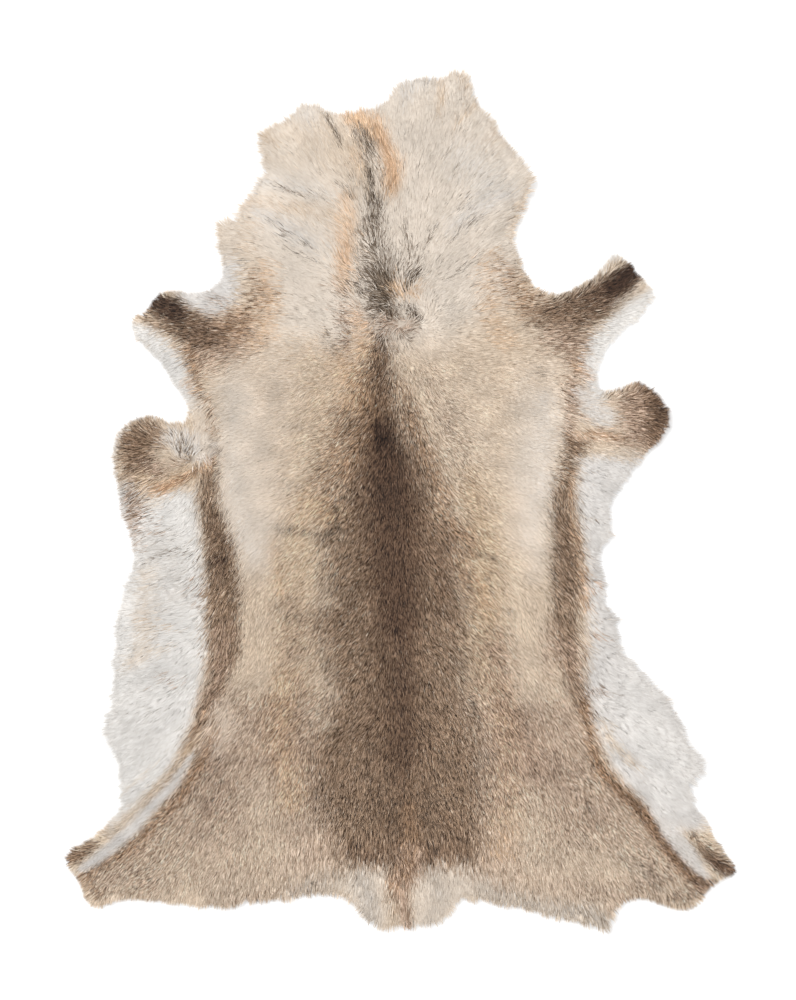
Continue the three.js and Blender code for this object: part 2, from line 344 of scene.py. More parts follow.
BACK = [
    ("brown", 0.92, 22, 0.6, [(-35, 155), (-10, 155), (-2, 100), (10, 50), (30, 20), (42, -5), (72, -32),
        (58, -46), (55, -70), (66, -90), (72, -120), (66, -200), (82, -250), (84, -345), (72, -366),
        (-52, -366), (-62, -350), (-88, -290), (-92, -250), (-66, -200), (-78, -150), (-92, -122),
        (-72, -100), (-80, -60), (-66, -30), (-62, 0), (-50, 40), (-42, 80), (-36, 120)]),
    ("umber", 0.85, 24, 0.6, [(-18, 70, 12), (-10, 25, 28), (-2, -60, 34), (-4, -150, 28), (0, -240, 22)]),
    ("umber", 0.55, 24, 0.6, [(0, -240, 22), (0, -340, 24)]),
    ("chestnut", 0.6, 16, 0.7, [(-58, 90, 8), (-64, 60, 10), (-74, 20, 13), (-66, -20, 10)]),
    ("brown", 0.45, 13, 0.7, [(8, 98, 6), (20, 60, 10), (28, 30, 11), (34, 0, 10)]),
    ("drab", 0.4, 22, 0.7, [(28, 120, 8), (46, 80, 12), (58, 40, 14)]),
    ("umber", 0.4, 10, 0.7, [(4, 90, 4), (12, 60, 6), (18, 30, 7)]),
    ("brown", 0.5, 14, 0.7, [(48, -45, 10), (60, -75, 10)]),
    ("umber", 0.25, 14, 0.6, [(-44, 32, 7), (-48, 8, 10), (-42, -20, 10)]),
    ("umber", 0.6, 14, 0.6, [(40, -50, 8), (44, -80, 9), (40, -110, 8)]),
    ("bark", 0.9, 18, 0.5, [(-20, 72, 11), (-12, 35, 24), (-8, 0, 26), (-5, -60, 22), (-3, -120, 15)]),
    ("bark", 0.65, 14, 0.6, [(2, -100, 12), (2, -180, 10), (2, -270, 7)]),
    ("black brown", 0.45, 14, 0.5, [(-12, 40, 12), (-8, 0, 14)]),
    ("black brown", 0.95, 9, 0.5, [(-22, 76, 9), (-16, 60, 11)]),
    ("umber", 0.7, 9, 0.8, [(-20, 165, 7), (-22, 145, 9), (-20, 120, 12), (-18, 92, 13)]),
    ("black brown", 0.3, 3, 1, [(-27, 155, 2), (-25, 140, 3), (-19, 125, 3)]),
    ("black brown", 0.5, 3, 1, [(-28, 102, 3), (-22, 93, 3)]),
    ("ginger", 0.45, 12, 0.6, [(-55, 140, 14), (-45, 105, 14)]),
    ("chestnut", 0.55, 13, 0.7, [(-38, 122, 7), (-38, 90, 11), (-46, 60, 12), (-54, 28, 9)]),
    ("chestnut", 0.5, 10, 0.7, [(3, 112, 5), (15, 80, 7), (27, 50, 8), (38, 22, 8), (48, 2, 8)]),
    ("ginger", 0.35, 12, 0.6, [(-92, -4, 14), (-66, -14, 9)]),
    ("chestnut", 0.45, 10, 0.7, [(40, -14, 7), (60, -34, 10), (72, -48, 7)]),
    ("rust", 0.45, 10, 0.6, [(60, -60, 7), (76, -84, 8), (88, -110, 7)]),
    ("ginger", 0.5, 5, 0.6, [(-127, -38, 3), (-125, -62, 3), (-118, -90, 3)]),
    ("umber", 0.1, 9, 0.8, [(-52, -100, 8), (-75, -114, 6)]),
    ("brown", 0.5, 14, 0.6, [(-60, -32, 10), (-68, -44, 10)]),
    ("sand", 0.35, 8, 0.8, [(-84, -178, 6), (-70, -195, 7)]),
    ("sand", 0.45, 8, 0.8, [(-92, -210, 7), (-74, -222, 7)]),
    ("charcoal", 0.65, 3, 1, [(-130, -26, 2), (-112, -29, 3), (-95, -32, 2), (-80, -36, 3), (-62, -30, 4),
        (-52, -33, 2)]),
    ("charcoal", 0.6, 3, 1, [(-67, -2, 1.5), (-63, -12, 2.5), (-60, -26, 3)]),
    ("slate", 0.22, 6, 1, [(-122, 22, 5), (-107, 13, 7)]),
    ("slate", 0.2, 6, 1, [(-122, -104, 4), (-112, -118, 6), (-98, -120, 3)]),
    ("charcoal", 0.35, 3, 1, [(72, -57, 2), (82, -54, 4), (93, -58, 3)]),
    ("charcoal", 0.5, 3, 1, [(70, -75, 2), (71, -90, 3)]),
    ("slate", 0.5, 3, 1, [(88, -78, 2), (90, -92, 2)]),
    ("slate", 0.5, 4, 1, [(106, -110, 3), (114, -112, 3)]),
    ("charcoal", 0.45, 4, 1, [(71, -202, 3), (75, -213, 4), (78, -223, 2)]),
    ("slate", 0.5, 5, 1, [(80, -262, 5), (90, -255, 5)]),
    ("fawn", 0.7, 18, 0.8, [(94, -150, 12), (98, -200, 14), (112, -235, 18), (135, -262, 18)]),
    ("ginger", 0.35, 14, 0.6, [(104, -190, 10), (106, -260, 12), (104, -345, 12)]),
    ("ginger", 0.45, 14, 0.6, [(-112, -180, 10), (-114, -240, 12), (-108, -300, 12)]),
    ("chestnut", 0.28, 14, 0.7, [(-128, -200, 12), (-125, -250, 14)]),
    ("chestnut", 0.55, 9, 0.6, [(8, -305, 5), (12, -340, 9), (8, -366, 8)]),
    ("umber", 0.72, 10, 0.7, [(-46, -348, 8), (-20, -354, 9)]),
    ("umber", 0.72, 10, 0.7, [(26, -350, 9), (62, -346, 9)]),
    ("umber", 0.45, 14, 0.7, [(44, -320, 10), (52, -335, 12)]),
    ("fawn", 0.5, 20, 0.8, [(105, -140, 14), (112, -200, 18), (112, -260, 18), (104, -300, 14)]),
    ("fawn", 0.35, 20, 0.8, [(-112, -100, 10), (-106, -160, 14), (-100, -200, 14), (-104, -250, 12)]),
    ("drab", 0.32, 20, 0.8, [(160, -265, 18), (185, -305, 18)]),
    ("drab", 0.5, 14, 0.8, [(-188, -262, 9), (-184, -300, 13)]),
    ("charcoal", 0.4, 5, 1, [(184, -305, 3), (192, -312, 3)]),
    ("slate", 0.35, 8, 1, [(222, -358, 6), (240, -370, 8), (258, -384, 6)]),
]
NECK = [
    ("tan", 0.6, 6, 0.5, [(-136, 366, 6), (-124, 356, 5)]),
    ("sand", 0.55, 16, 0.4, [(-115, 375, 10), (-95, 360, 16), (-70, 340, 18), (-45, 322, 12)]),
    ("pale grey", 0.3, 14, 0.4, [(-95, 388, 11), (-72, 372, 12)]),
    ("pale grey", 0.55, 9, 0.6, [(4, 400, 5), (14, 416, 9), (35, 420, 4)]),
    ("white", 0.35, 18, 0.4, [(60, 335, 14), (84, 316, 16)]),
    ("sand", 0.4, 8, 0.5, [(-135, 342, 5), (-100, 331, 6)]),
    ("sand", 0.8, 14, 0.5, [(-72, 374, 9), (-50, 350, 15), (-38, 330, 11), (-32, 305, 8)]),
    ("ginger", 0.95, 8, 0.3, [(-50, 385, 9), (-38, 376, 12), (-24, 367, 10), (-17, 355, 7), (-10, 345, 6),
        (-7, 330, 8), (-7, 315, 9), (-10, 304, 6)]),
    ("rust", 0.6, 7, 0.4, [(-24, 368, 4), (-14, 352, 4), (-9, 335, 5), (-8, 312, 5)]),
    ("ginger", 0.35, 8, 0.5, [(-40, 345, 6), (-38, 325, 6)]),
    ("ginger", 0.75, 8, 0.3, [(-50, 298, 6), (-50, 270, 8), (-53, 240, 9), (-53, 212, 7)]),
    ("rust", 0.4, 6, 0.6, [(-54, 250, 4), (-53, 226, 5)]),
    ("tan", 0.55, 4, 0.5, [(38, 422, 3), (42, 402, 4), (38, 382, 3)]),
    ("tan", 0.6, 4, 0.5, [(50, 369, 1), (62, 382, 3), (76, 395, 3)]),
    ("tan", 0.35, 6, 0.5, [(86, 368, 4), (96, 352, 5)]),
    ("tan", 0.5, 5, 0.5, [(62, 424, 4), (66, 408, 3)]),
    ("tan", 0.55, 6, 0.5, [(129, 322, 2), (124, 300, 4), (117, 280, 5), (108, 268, 5)]),
    ("tan", 0.45, 8, 0.5, [(-150, 298, 5), (-148, 270, 8), (-150, 250, 6)]),
    ("tan", 0.45, 9, 0.5, [(-145, 299, 4), (-120, 291, 6), (-90, 286, 8), (-62, 281, 6)]),
    ("pale grey", 0.45, 9, 0.5, [(-142, 318, 4), (-100, 309, 5), (-72, 303, 3)]),
    ("pale grey", 0.55, 12, 0.5, [(-139, 286, 6), (-112, 270, 9), (-84, 252, 6)]),
    ("pale grey", 0.55, 13, 0.5, [(50, 270, 6), (75, 290, 9), (106, 306, 5)]),
    ("slate", 0.75, 7, 1, [(-42, 366, 5), (-32, 352, 7), (-26, 336, 5)]),
    ("slate", 0.55, 10, 0.9, [(-25, 288, 7), (-28, 262, 13), (-26, 245, 18), (-23, 225, 21), (-20, 205, 19),
        (-18, 190, 15)]),
    ("charcoal", 0.9, 4, 0.9, [(-12, 216, 3), (-6, 207, 5), (-8, 196, 4)]),
    ("charcoal", 1, 2.4, 0.8, [(-71, 379, 1.6), (-65, 369, 1.4), (-60, 359, 1.4), (-57, 350, 1)]),
    ("charcoal", 0.7, 4, 1, [(-38, 367, 2), (-30, 359, 4), (-28, 348, 3)]),
    ("charcoal", 0.85, 3, 0.9, [(-34, 335, 1.6), (-30, 324, 3), (-29, 311, 3), (-27, 300, 2)]),
    ("charcoal", 0.5, 2, 0.9, [(-48, 318, 1), (-37, 311, 1.5), (-29, 304, 2)]),
    ("charcoal", 0.9, 3, 0.9, [(-17, 324, 2), (-26, 311, 1.5)]),
    ("charcoal", 0.75, 5, 0.9, [(-28, 296, 4), (-22, 285, 8), (-23, 271, 5)]),
    ("charcoal", 0.6, 3, 0.9, [(-39, 268, 2), (-29, 261, 4), (-20, 252, 3)]),
    ("charcoal", 0.3, 5, 0.9, [(-36, 248, 3), (-23, 240, 5), (-15, 230, 4)]),
    ("charcoal", 0.9, 6, 0.9, [(-27, 228, 5), (-17, 216, 11), (-16, 203, 8)]),
    ("charcoal", 0.65, 3, 1, [(-45, 214, 2), (-34, 207, 4)]),
    ("charcoal", 0.85, 5, 0.9, [(-21, 200, 6), (-15, 190, 7), (-13, 182, 5)]),
    ("rust", 0.6, 7, 0.6, [(-43, 188, 6), (-33, 175, 7)]),
    ("ginger", 0.6, 9, 0.6, [(-40, 172, 6), (-34, 150, 8)]),
    ("fawn", 0.7, 6, 0.6, [(-16, 178, 5), (8, 172, 6)]),
    ("ginger", 0.8, 6, 0.5, [(-1, 207, 5), (16, 207, 5)]),
    ("charcoal", 0.8, 2.4, 0.8, [(-11, 188, 2), (-5, 186, 2.8), (0, 184, 2)]),
    ("charcoal", 0.85, 3.5, 0.9, [(5, 190, 2.6), (13, 187, 4.5), (18, 178, 3)]),
    ("charcoal", 0.65, 3, 0.9, [(1, 169, 2), (9, 159, 3)]),
    ("slate", 0.4, 6, 1, [(3, 246, 3), (12, 236, 6), (8, 224, 5)]),
    ("charcoal", 0.75, 1.6, 0.8, [(4, 273, 1), (7, 256, 1.6)]),
    ("slate", 0.7, 2.5, 1, [(8, 261, 1.8), (13, 247, 2.4)]),
    ("slate", 0.7, 1.8, 1, [(30, 267, 1.4), (25, 255, 1.6)]),
    ("charcoal", 0.75, 3, 0.9, [(18, 228, 2), (11, 220, 4), (5, 210, 3)]),
    # The next three thin dark lines, out to the neck's right edge, are creases where the hair parts: partly
    # the darker hair that shows there, partly painted shade in the creases.
    ("charcoal", 0.55, 1.4, 0.8, [(43, 218, 1.2), (55, 228, 1.2), (75, 240, 0.8)]),
    ("charcoal", 0.7, 1.6, 0.6, [(55, 267, 0.8), (68, 274, 1.6), (78, 279, 1)]),
    ("slate", 0.6, 1.5, 0.7, [(43, 251, 0.8), (56, 263, 0.8)]),
    ("slate", 0.7, 1.4, 0.7, [(43, 340, 1), (48, 349, 1)]),
    ("slate", 0.55, 1.2, 0.7, [(52, 317, 0.8), (56, 333, 0.8)]),
    ("slate", 0.45, 3, 1, [(57, 281, 2), (60, 291, 2)]),
    # The next five thin dark lines, out to the neck's left edge, are creases where the hair parts: partly
    # the darker hair that shows there, partly painted shade in the creases.
    ("slate", 0.65, 2.4, 0.9, [(-123, 315, 1), (-108, 307, 2), (-92, 302, 1.5), (-74, 302, 1)]),
    ("charcoal", 0.75, 1.3, 0.6, [(-57, 312, 0.8), (-50, 304, 1.5), (-42, 300, 1.2)]),
    ("charcoal", 0.42, 2, 0.8, [(-131, 282, 0.8), (-117, 268, 1.6), (-105, 255, 1.2), (-96, 246, 0.8)]),
    ("charcoal", 0.5, 2, 0.8, [(-114, 271, 0.8), (-100, 258, 1.4), (-88, 253, 1)]),
    ("slate", 0.55, 1.5, 0.8, [(-120, 258, 0.8), (-100, 244, 1), (-80, 238, 0.8)]),
    ("drab", 0.75, 5, 0.9, [(-58, 214, 4), (-53, 204, 4), (-56, 190, 5), (-53, 175, 5), (-53, 154, 4)]),
    ("slate", 0.35, 5, 1, [(-72, 165, 5), (-62, 150, 6)]),
]
FORELEGS = [
    ("cream", 0.8, 7, 0.4, [(-174, 262, 6), (-168, 240, 9), (-164, 216, 8)]),
    ("pale grey", 1, 5, 0.3, [(-225, 206), (-200, 212), (-178, 232), (-164, 246), (-158, 226), (-161, 200),
        (-172, 188), (-188, 183), (-200, 190), (-215, 198)]),
    ("ginger", 0.5, 10, 0.6, [(-129, 230, 7), (-126, 200, 10), (-130, 168, 9), (-150, 150, 9)]),
    ("fawn", 0.75, 15, 0.7, [(-200, 184), (-152, 188), (-140, 160), (-165, 138), (-195, 128), (-212, 145),
        (-222, 165)]),
    ("chestnut", 0.6, 12, 0.7, [(-141, 226, 5), (-139, 202, 10), (-151, 182, 14), (-168, 168, 14)]),
    ("brown", 0.3, 10, 0.7, [(-158, 182, 6), (-176, 176, 7)]),
    ("umber", 0.85, 6, 0.6, [(-244, 196, 11), (-226, 186, 15), (-206, 173, 17), (-190, 164, 14)]),
    ("black brown", 0.9, 6, 0.5, [(-247, 201, 8), (-238, 197, 10), (-222, 188, 12)]),
    ("brown", 0.9, 4, 0.6, [(-259, 188, 4), (-250, 180, 4), (-228, 169, 3)]),
    ("sand", 0.7, 3, 0.5, [(-238, 208, 2), (-226, 206, 3)]),
    ("white", 1, 4, 0.3, [(-272, 176, 4), (-253, 165, 10), (-240, 150, 14), (-226, 130, 14),
        (-213, 108, 10), (-204, 95, 7)]),
    ("chestnut", 0.8, 5, 0.7, [(-210, 152, 5), (-205, 132, 4), (-199, 114, 3), (-194, 100, 5),
        (-190, 86, 4), (-186, 66, 3), (-183, 52, 3)]),
    ("ginger", 0.6, 4, 0.5, [(-213, 120, 3), (-204, 110, 4)]),
    ("fawn", 0.8, 3, 0.7, [(-188, 200, 2), (-172, 202, 1.6)]),
    ("ginger", 0.45, 10, 0.6, [(86, 240, 8), (84, 210, 9), (90, 178, 10), (100, 160, 10)]),
    ("chestnut", 0.6, 13, 0.7, [(99, 234, 6), (111, 213, 13), (128, 196, 16)]),
    ("sand", 0.7, 5, 0.5, [(124, 236, 4), (136, 214, 4)]),
    ("fawn", 0.65, 12, 0.7, [(150, 160, 12), (175, 156, 14), (188, 165, 10)]),
    ("umber", 0.9, 7, 0.6, [(146, 190, 8), (176, 190, 18), (196, 198, 17), (216, 212, 14), (233, 225, 12)]),
    ("umber", 0.5, 8, 0.7, [(130, 183, 8), (145, 178, 10), (162, 174, 9)]),
    ("bark", 0.6, 9, 0.6, [(190, 200, 8), (206, 208, 10), (220, 217, 11)]),
    ("black brown", 1, 6, 0.4, [(208, 212, 7), (222, 221, 11), (238, 233, 9)]),
    ("white", 1, 4, 0.3, [(194, 228, 4), (204, 237, 5), (213, 245, 6), (221, 248, 5)]),
    ("cream", 0.5, 4, 0.6, [(244, 219, 4), (232, 206, 3), (214, 195, 3)]),
    ("white", 1, 5, 0.3, [(250, 206, 6), (236, 192, 10), (216, 172, 12), (199, 155, 12), (190, 135, 9),
        (192, 116, 7), (197, 106, 6)]),
    ("fawn", 0.7, 14, 0.6, [(163, 172, 9), (170, 150, 9), (173, 125, 7), (172, 102, 7)]),
    ("brown", 0.5, 14, 0.6, [(132, 192, 8), (152, 182, 11), (172, 174, 9)]),
    ("rust", 0.65, 5, 0.5, [(175, 135, 4), (188, 124, 4)]),
    ("fawn", 0.92, 7, 0.6, [(169, 116, 5), (168, 90, 5), (166, 62, 5)]),
    ("slate", 0.15, 5, 1, [(135, 128, 4), (151, 122, 4)]),
]
BELLY = [
    ("white", 1, 7, 0.3, [(-295, 0), (-268, 22), (-205, 10), (-198, -40), (-193, -100), (-192, -150),
        (-200, -190), (-210, -230), (-230, -270), (-260, -300), (-290, -330), (-300, -300), (-305, -140)]),
    ("fawn", 0.65, 8, 0.7, [(-272, 4, 6), (-268, -20, 6), (-260, -46, 4)]),
    ("cream", 0.85, 10, 0.5, [(-250, -70, 6), (-250, -110, 7), (-254, -150, 7), (-266, -164, 4)]),
    ("tan", 0.35, 4, 0.9, [(-252, -118, 3), (-225, -128, 3)]),
    ("cream", 0.5, 5, 0.8, [(-250, -150, 4), (-228, -148, 3)]),
    # A thin dark line along the crease in the left flank: partly the darker hair where it parts, partly
    # painted shade in the crease.
    ("charcoal", 1, 2.2, 0.8, [(-250, -62, 1), (-236, -53, 1), (-219, -47, 1), (-208, -52, 1),
        (-200, -65, 0.8)]),
    ("fawn", 0.3, 5, 1, [(-246, -10, 3), (-240, -30, 4)]),
    ("fawn", 0.5, 4, 1, [(-202, -74, 2), (-196, -98, 3)]),
    ("fawn", 0.25, 6, 1, [(-234, -172, 5), (-220, -182, 4)]),
    ("ash", 0.22, 16, 0.4, [(-255, -35, 10), (-235, -50, 20), (-222, -90, 20)]),
    ("ivory", 0.6, 3, 0.8, [(-272, -290, 2), (-245, -265, 2)]),
    ("pale grey", 1, 7, 0.3, [(178, 42), (205, 48), (235, 48), (255, 30), (215, -20), (215, -60),
        (220, -100), (250, -160), (300, -230), (330, -272), (310, -300), (305, -330), (272, -330),
        (242, -302), (212, -266), (193, -222), (184, -190), (188, -140), (185, -60), (176, 0)]),
    ("white", 0.7, 14, 0.3, [(225, -180, 14), (240, -220, 22), (265, -265, 22), (262, -300, 10)]),
    ("white", 0.2, 10, 0.3, [(190, 20, 6), (196, 0, 8), (198, -40, 6)]),
    ("charcoal", 0.6, 2, 1, [(172, -3, 1.6), (180, -8, 1.6)]),
    ("slate", 0.45, 2, 1, [(178, -15, 1.6), (199, -18, 1.6)]),
    ("fawn", 0.5, 4, 1, [(184, -80, 3), (198, -86, 4)]),
    ("fawn", 0.15, 5, 1, [(190, -134, 4), (206, -140, 4)]),
    ("sand", 0.7, 5, 0.6, [(200, -218, 2), (210, -240, 4), (228, -260, 4)]),
    ("drab", 0.65, 4, 0.8, [(182, -190, 4), (206, -190, 2)]),
    ("sand", 0.8, 6, 0.6, [(205, 47, 4), (230, 44, 5)]),
]
FLANKS = [
    ("ivory", 0.95, 14, 0.4, [(-158, 105, 16), (-155, 60, 22), (-154, 0, 24), (-145, -40, 18),
        (-142, -70, 10)]),
    ("sand", 0.8, 14, 0.4, [(-142, -80, 10), (-140, -140, 12), (-146, -185, 10)]),
    ("white", 0.3, 13, 0.4, [(-160, 95, 9), (-164, 45, 12), (-160, 0, 12), (-149, -50, 8)]),
    ("ivory", 0.65, 18, 0.5, [(-172, 112, 10), (-155, 75, 20), (-145, 20, 20), (-138, -20, 14)]),
    ("cream", 0.6, 24, 0.6, [(-120, 130, 22), (-128, 90, 24), (-128, 40, 20), (-118, 0, 12)]),
    ("cream", 0.9, 15, 0.4, [(142, 95, 14), (135, 30, 24), (131, -40, 22)]),
    ("sand", 0.8, 15, 0.4, [(130, -60, 18), (128, -120, 18), (126, -190, 10)]),
    ("white", 0.4, 13, 0.4, [(142, 100, 8), (138, 50, 14), (136, 10, 14), (134, -40, 8)]),
    ("ivory", 0.6, 16, 0.4, [(124, 125, 8), (124, 80, 15), (122, 30, 15), (124, 0, 8)]),
    ("sand", 0.7, 12, 0.5, [(146, -10, 6), (148, -60, 10)]),
    ("ivory", 0.6, 12, 0.4, [(136, -20, 14), (134, -70, 10)]),
    ("brown", 0.95, 8, 0.6, [(-186, 62, 3), (-190, 35, 7), (-191, 0, 10), (-184, -28, 12), (-177, -57, 15),
        (-176, -100, 17), (-175, -150, 16), (-181, -178, 9), (-192, -205, 7), (-206, -238, 4)]),
    ("umber", 0.5, 7, 0.6, [(-186, -22, 7), (-180, -50, 11), (-178, -75, 9)]),
    # The end of the thin dark line along the left flank's crease: partly the darker hair where it parts,
    # partly painted shade in the crease.
    ("black brown", 0.8, 3, 0.8, [(-190, -62, 2), (-180, -60, 4), (-172, -57, 3)]),
    ("fawn", 0.5, 10, 0.7, [(-176, -130, 10), (-180, -170, 10), (-194, -208, 8)]),
    ("brown", 0.92, 10, 0.6, [(172, 55, 7), (165, 30, 8), (160, 0, 10), (164, -40, 14), (167, -80, 17),
        (164, -115, 14), (166, -150, 13), (173, -182, 8), (185, -212, 6)]),
    ("umber", 0.35, 9, 0.7, [(166, -18, 7), (166, -55, 11), (168, -85, 9)]),
    ("rust", 0.45, 5, 0.6, [(171, 30, 3), (170, -10, 3), (180, -60, 3), (184, -105, 4)]),
    ("fawn", 0.5, 10, 0.7, [(168, -150, 12), (174, -180, 8)]),
    ("fawn", 0.45, 9, 0.7, [(150, -130, 8), (146, -170, 8)]),
]
ELBOWS = [
    ("brown", 0.95, 8, 0.6, [(-280, 64), (-266, 79), (-250, 82), (-238, 74), (-232, 60), (-242, 48),
        (-246, 32), (-260, 22), (-276, 24), (-280, 44)]),
    ("umber", 0.7, 9, 0.6, [(-270, 62, 6), (-262, 52, 9), (-258, 38, 7)]),
    ("drab", 0.9, 7, 0.6, [(-252, 34, 9), (-240, 24, 8)]),
    ("drab", 0.85, 7, 0.7, [(-262, 20, 10), (-260, 0, 9), (-262, -20, 6)]),
    ("cream", 0.6, 10, 0.7, [(-250, 12, 8), (-244, 0, 7)]),
    ("pale grey", 0.75, 7, 0.4, [(-226, 60, 8), (-212, 52, 13), (-196, 52, 12)]),
    ("cream", 0.8, 6, 0.4, [(-202, 98, 6), (-198, 74, 8), (-193, 52, 8)]),
    ("slate", 0.7, 6, 1, [(-224, 62, 3), (-216, 50, 6), (-206, 38, 4)]),
    ("fawn", 0.5, 6, 0.7, [(-242, 32, 4), (-216, 36, 3)]),
    ("tan", 0.85, 8, 0.6, [(-258, 22, 8), (-240, 12, 8), (-222, 19, 8), (-205, 33, 5)]),
    ("rust", 0.85, 4, 0.5, [(-186, 40, 2), (-203, 30, 3), (-220, 20, 4), (-236, 12, 5), (-243, 14, 3)]),
    ("white", 0.95, 3, 0.4, [(-283, -15, 4), (-286, 10, 4), (-288, 45, 3), (-283, 69, 3), (-270, 84, 3),
        (-252, 90, 3), (-238, 87, 3)]),
    ("fawn", 0.95, 13, 0.6, [(218, 104), (234, 118), (250, 124), (266, 112), (276, 92), (276, 70),
        (258, 48), (240, 50), (224, 62), (216, 80)]),
    ("brown", 1, 9, 0.5, [(250, 110, 10), (260, 88, 11), (254, 62, 8)]),
    ("umber", 0.95, 8, 0.5, [(250, 106, 7), (256, 84, 10), (250, 64, 6)]),
    ("bark", 0.7, 6, 0.6, [(258, 98, 4), (264, 84, 8), (258, 72, 4)]),
    ("pale grey", 0.8, 8, 0.4, [(180, 106, 7), (191, 92, 12), (204, 82, 9)]),
    ("fawn", 0.5, 2, 1, [(172, 98, 1), (182, 84, 1.4), (194, 76, 1)]),
    ("fawn", 0.6, 7, 0.6, [(172, 60, 5), (195, 66, 5), (215, 60, 6), (240, 58, 5)]),
    ("rust", 0.5, 5, 0.6, [(174, 64, 3), (195, 68, 4), (215, 62, 3)]),
    ("brown", 0.95, 6, 0.6, [(166, 64, 4), (174, 52, 8), (184, 58, 4)]),
]
HIND = [
    # A faint thin dark line along a fold of the left hind leg: partly the leg's darker hair, partly painted
    # shade in the fold.
    ("chestnut", 0.35, 3, 0.6, [(-176, -188, 3), (-198, -217, 3), (-208, -240, 2.4), (-222, -270, 2.4),
        (-246, -300, 3)]),
    ("sand", 0.2, 5, 0.6, [(-248, -300, 4), (-276, -325, 5), (-296, -338, 5)]),
    ("chestnut", 0.75, 7, 0.7, [(-184, -236, 4), (-201, -266, 6), (-221, -298, 6), (-247, -326, 5),
        (-271, -351, 5), (-300, -366, 5), (-321, -379, 3)]),
    ("tan", 0.7, 4, 0.6, [(-199, -232, 2), (-216, -257, 4), (-235, -284, 5), (-255, -306, 4)]),
    ("ash", 0.4, 5, 0.6, [(-216, -257, 3), (-235, -284, 5), (-262, -314, 5), (-290, -334, 4)]),
    ("pale grey", 1, 4, 0.4, [(-208, -254, 2), (-224, -282, 4), (-247, -306, 5), (-269, -330, 6),
        (-288, -347, 6), (-305, -360, 5), (-319, -370, 3)]),
    ("brown", 1, 5, 0.5, [(-338, -364, 6), (-320, -354, 6), (-306, -345, 3)]),
    ("umber", 0.5, 5, 0.6, [(-337, -363, 4), (-321, -355, 4)]),
    ("chestnut", 0.55, 9, 0.6, [(-313, -382, 7), (-302, -396, 7)]),
    ("cream", 0.5, 10, 0.6, [(-180, -206, 7), (-170, -226, 9), (-182, -246, 5)]),
    ("fawn", 0.5, 6, 0.8, [(-262, -385, 4), (-248, -388, 4)]),
    ("chestnut", 0.95, 7, 0.7, [(183, -202, 3), (190, -246, 5), (201, -271, 6), (226, -296, 7),
        (250, -321, 8), (270, -350, 8), (292, -376, 7), (304, -389, 5)]),
    ("umber", 0.65, 6, 0.7, [(212, -280, 3), (235, -304, 4), (268, -346, 5), (300, -382, 5)]),
    ("pale grey", 0.9, 4, 0.3, [(250, -302, 4), (269, -330, 8), (288, -353, 8), (305, -376, 4)]),
    ("brown", 0.8, 7, 0.6, [(293, -336, 3), (303, -349, 7), (318, -361, 7)]),
    ("umber", 1, 5, 0.5, [(306, -356, 3), (320, -366, 6), (333, -373, 6)]),
    ("bark", 0.8, 5, 0.5, [(318, -366, 4), (334, -373, 4)]),
    ("umber", 1, 5, 0.5, [(296, -380, 5), (306, -388, 5), (316, -384, 4)]),
]
RUMP = [
    ("drab", 0.55, 10, 0.6, [(-190, -400, 6), (-140, -395, 9), (-85, -386, 8)]),
    ("drab", 0.3, 9, 0.6, [(-262, -398, 5), (-230, -402, 6)]),
    ("sand", 0.3, 16, 0.7, [(195, -366, 12), (215, -376, 12), (235, -373, 10)]),
    ("brown", 0.4, 8, 0.6, [(280, -400, 7), (292, -400, 8), (306, -388, 7)]),
    ("ash", 0.5, 8, 0.6, [(-110, -392, 6), (-75, -378, 8), (-55, -380, 8)]),
    ("drab", 0.35, 9, 0.6, [(215, -404, 7), (240, -402, 7), (275, -400, 7), (305, -388, 8)]),
    ("ash", 0.85, 9, 0.5, [(80, -387, 8), (110, -396, 6), (150, -406, 8), (190, -414, 10), (208, -424, 7)]),
    ("slate", 0.15, 8, 0.5, [(80, -387, 8), (110, -396, 6), (150, -406, 8), (190, -414, 10),
        (208, -424, 7)]),
    ("cream", 0.7, 9, 0.5, [(60, -374, 8), (88, -384, 6)]),
    ("cream", 1, 7, 0.3, [(-58, -376), (-38, -364), (-15, -369), (-12, -390), (-15, -432), (-38, -432),
        (-46, -405), (-54, -392)]),
    ("cream", 1, 7, 0.3, [(18, -374), (40, -364), (66, -371), (74, -392), (58, -404), (50, -430),
        (12, -438), (10, -400)]),
    ("ash", 0.9, 7, 0.5, [(-38, -380, 9), (-30, -400, 9), (-28, -425, 6)]),
    ("brown", 0.5, 5, 0.6, [(-8, -372, 4), (-11, -390, 5), (-4, -404, 4)]),
    ("ash", 0.45, 7, 0.5, [(38, -378, 7), (38, -400, 9), (30, -425, 7)]),
    ("fawn", 0.95, 7, 0.5, [(8, -356, 14), (2, -378, 11), (2, -396, 7), (8, -425, 5)]),
    ("chestnut", 0.5, 6, 0.7, [(8, -356, 8), (2, -374, 5), (-8, -388, 3)]),
    ("rust", 0.4, 4, 0.6, [(-15, -386, 2), (-6, -376, 3)]),
    ("drab", 0.9, 4, 0.6, [(5, -414, 3), (9, -427, 3)]),
]


def linear(colour):
    """Red, green and blue of 255, as the linear light that shaders take."""
    share = np.array(colour, float) / 255
    return np.where(share <= 0.04045, share / 12.92, ((share + 0.055) / 1.055) ** 2.4)


def inside(points, outline):
    """Which points lie inside a closed outline."""
    found = np.zeros(len(points), bool)
    for (x0, y0), (x1, y1) in zip(outline, np.roll(outline, -1, axis=0)):
        crosses = (points[:, 1] < y0) != (points[:, 1] < y1)
        reach = x0 + (points[:, 1] - y0) * (x1 - x0) / (y1 - y0 if y1 != y0 else 1)
        found ^= crosses & (points[:, 0] < reach)
    return found


def depth_in_patch(points, outline):
    """How deep each point lies inside a patch, below nought outside it."""
    ends = np.stack((outline, np.roll(outline, -1, axis=0)), axis=1)
    distance = distance_to(points, ends)
    return np.where(inside(points, outline), distance, -distance)


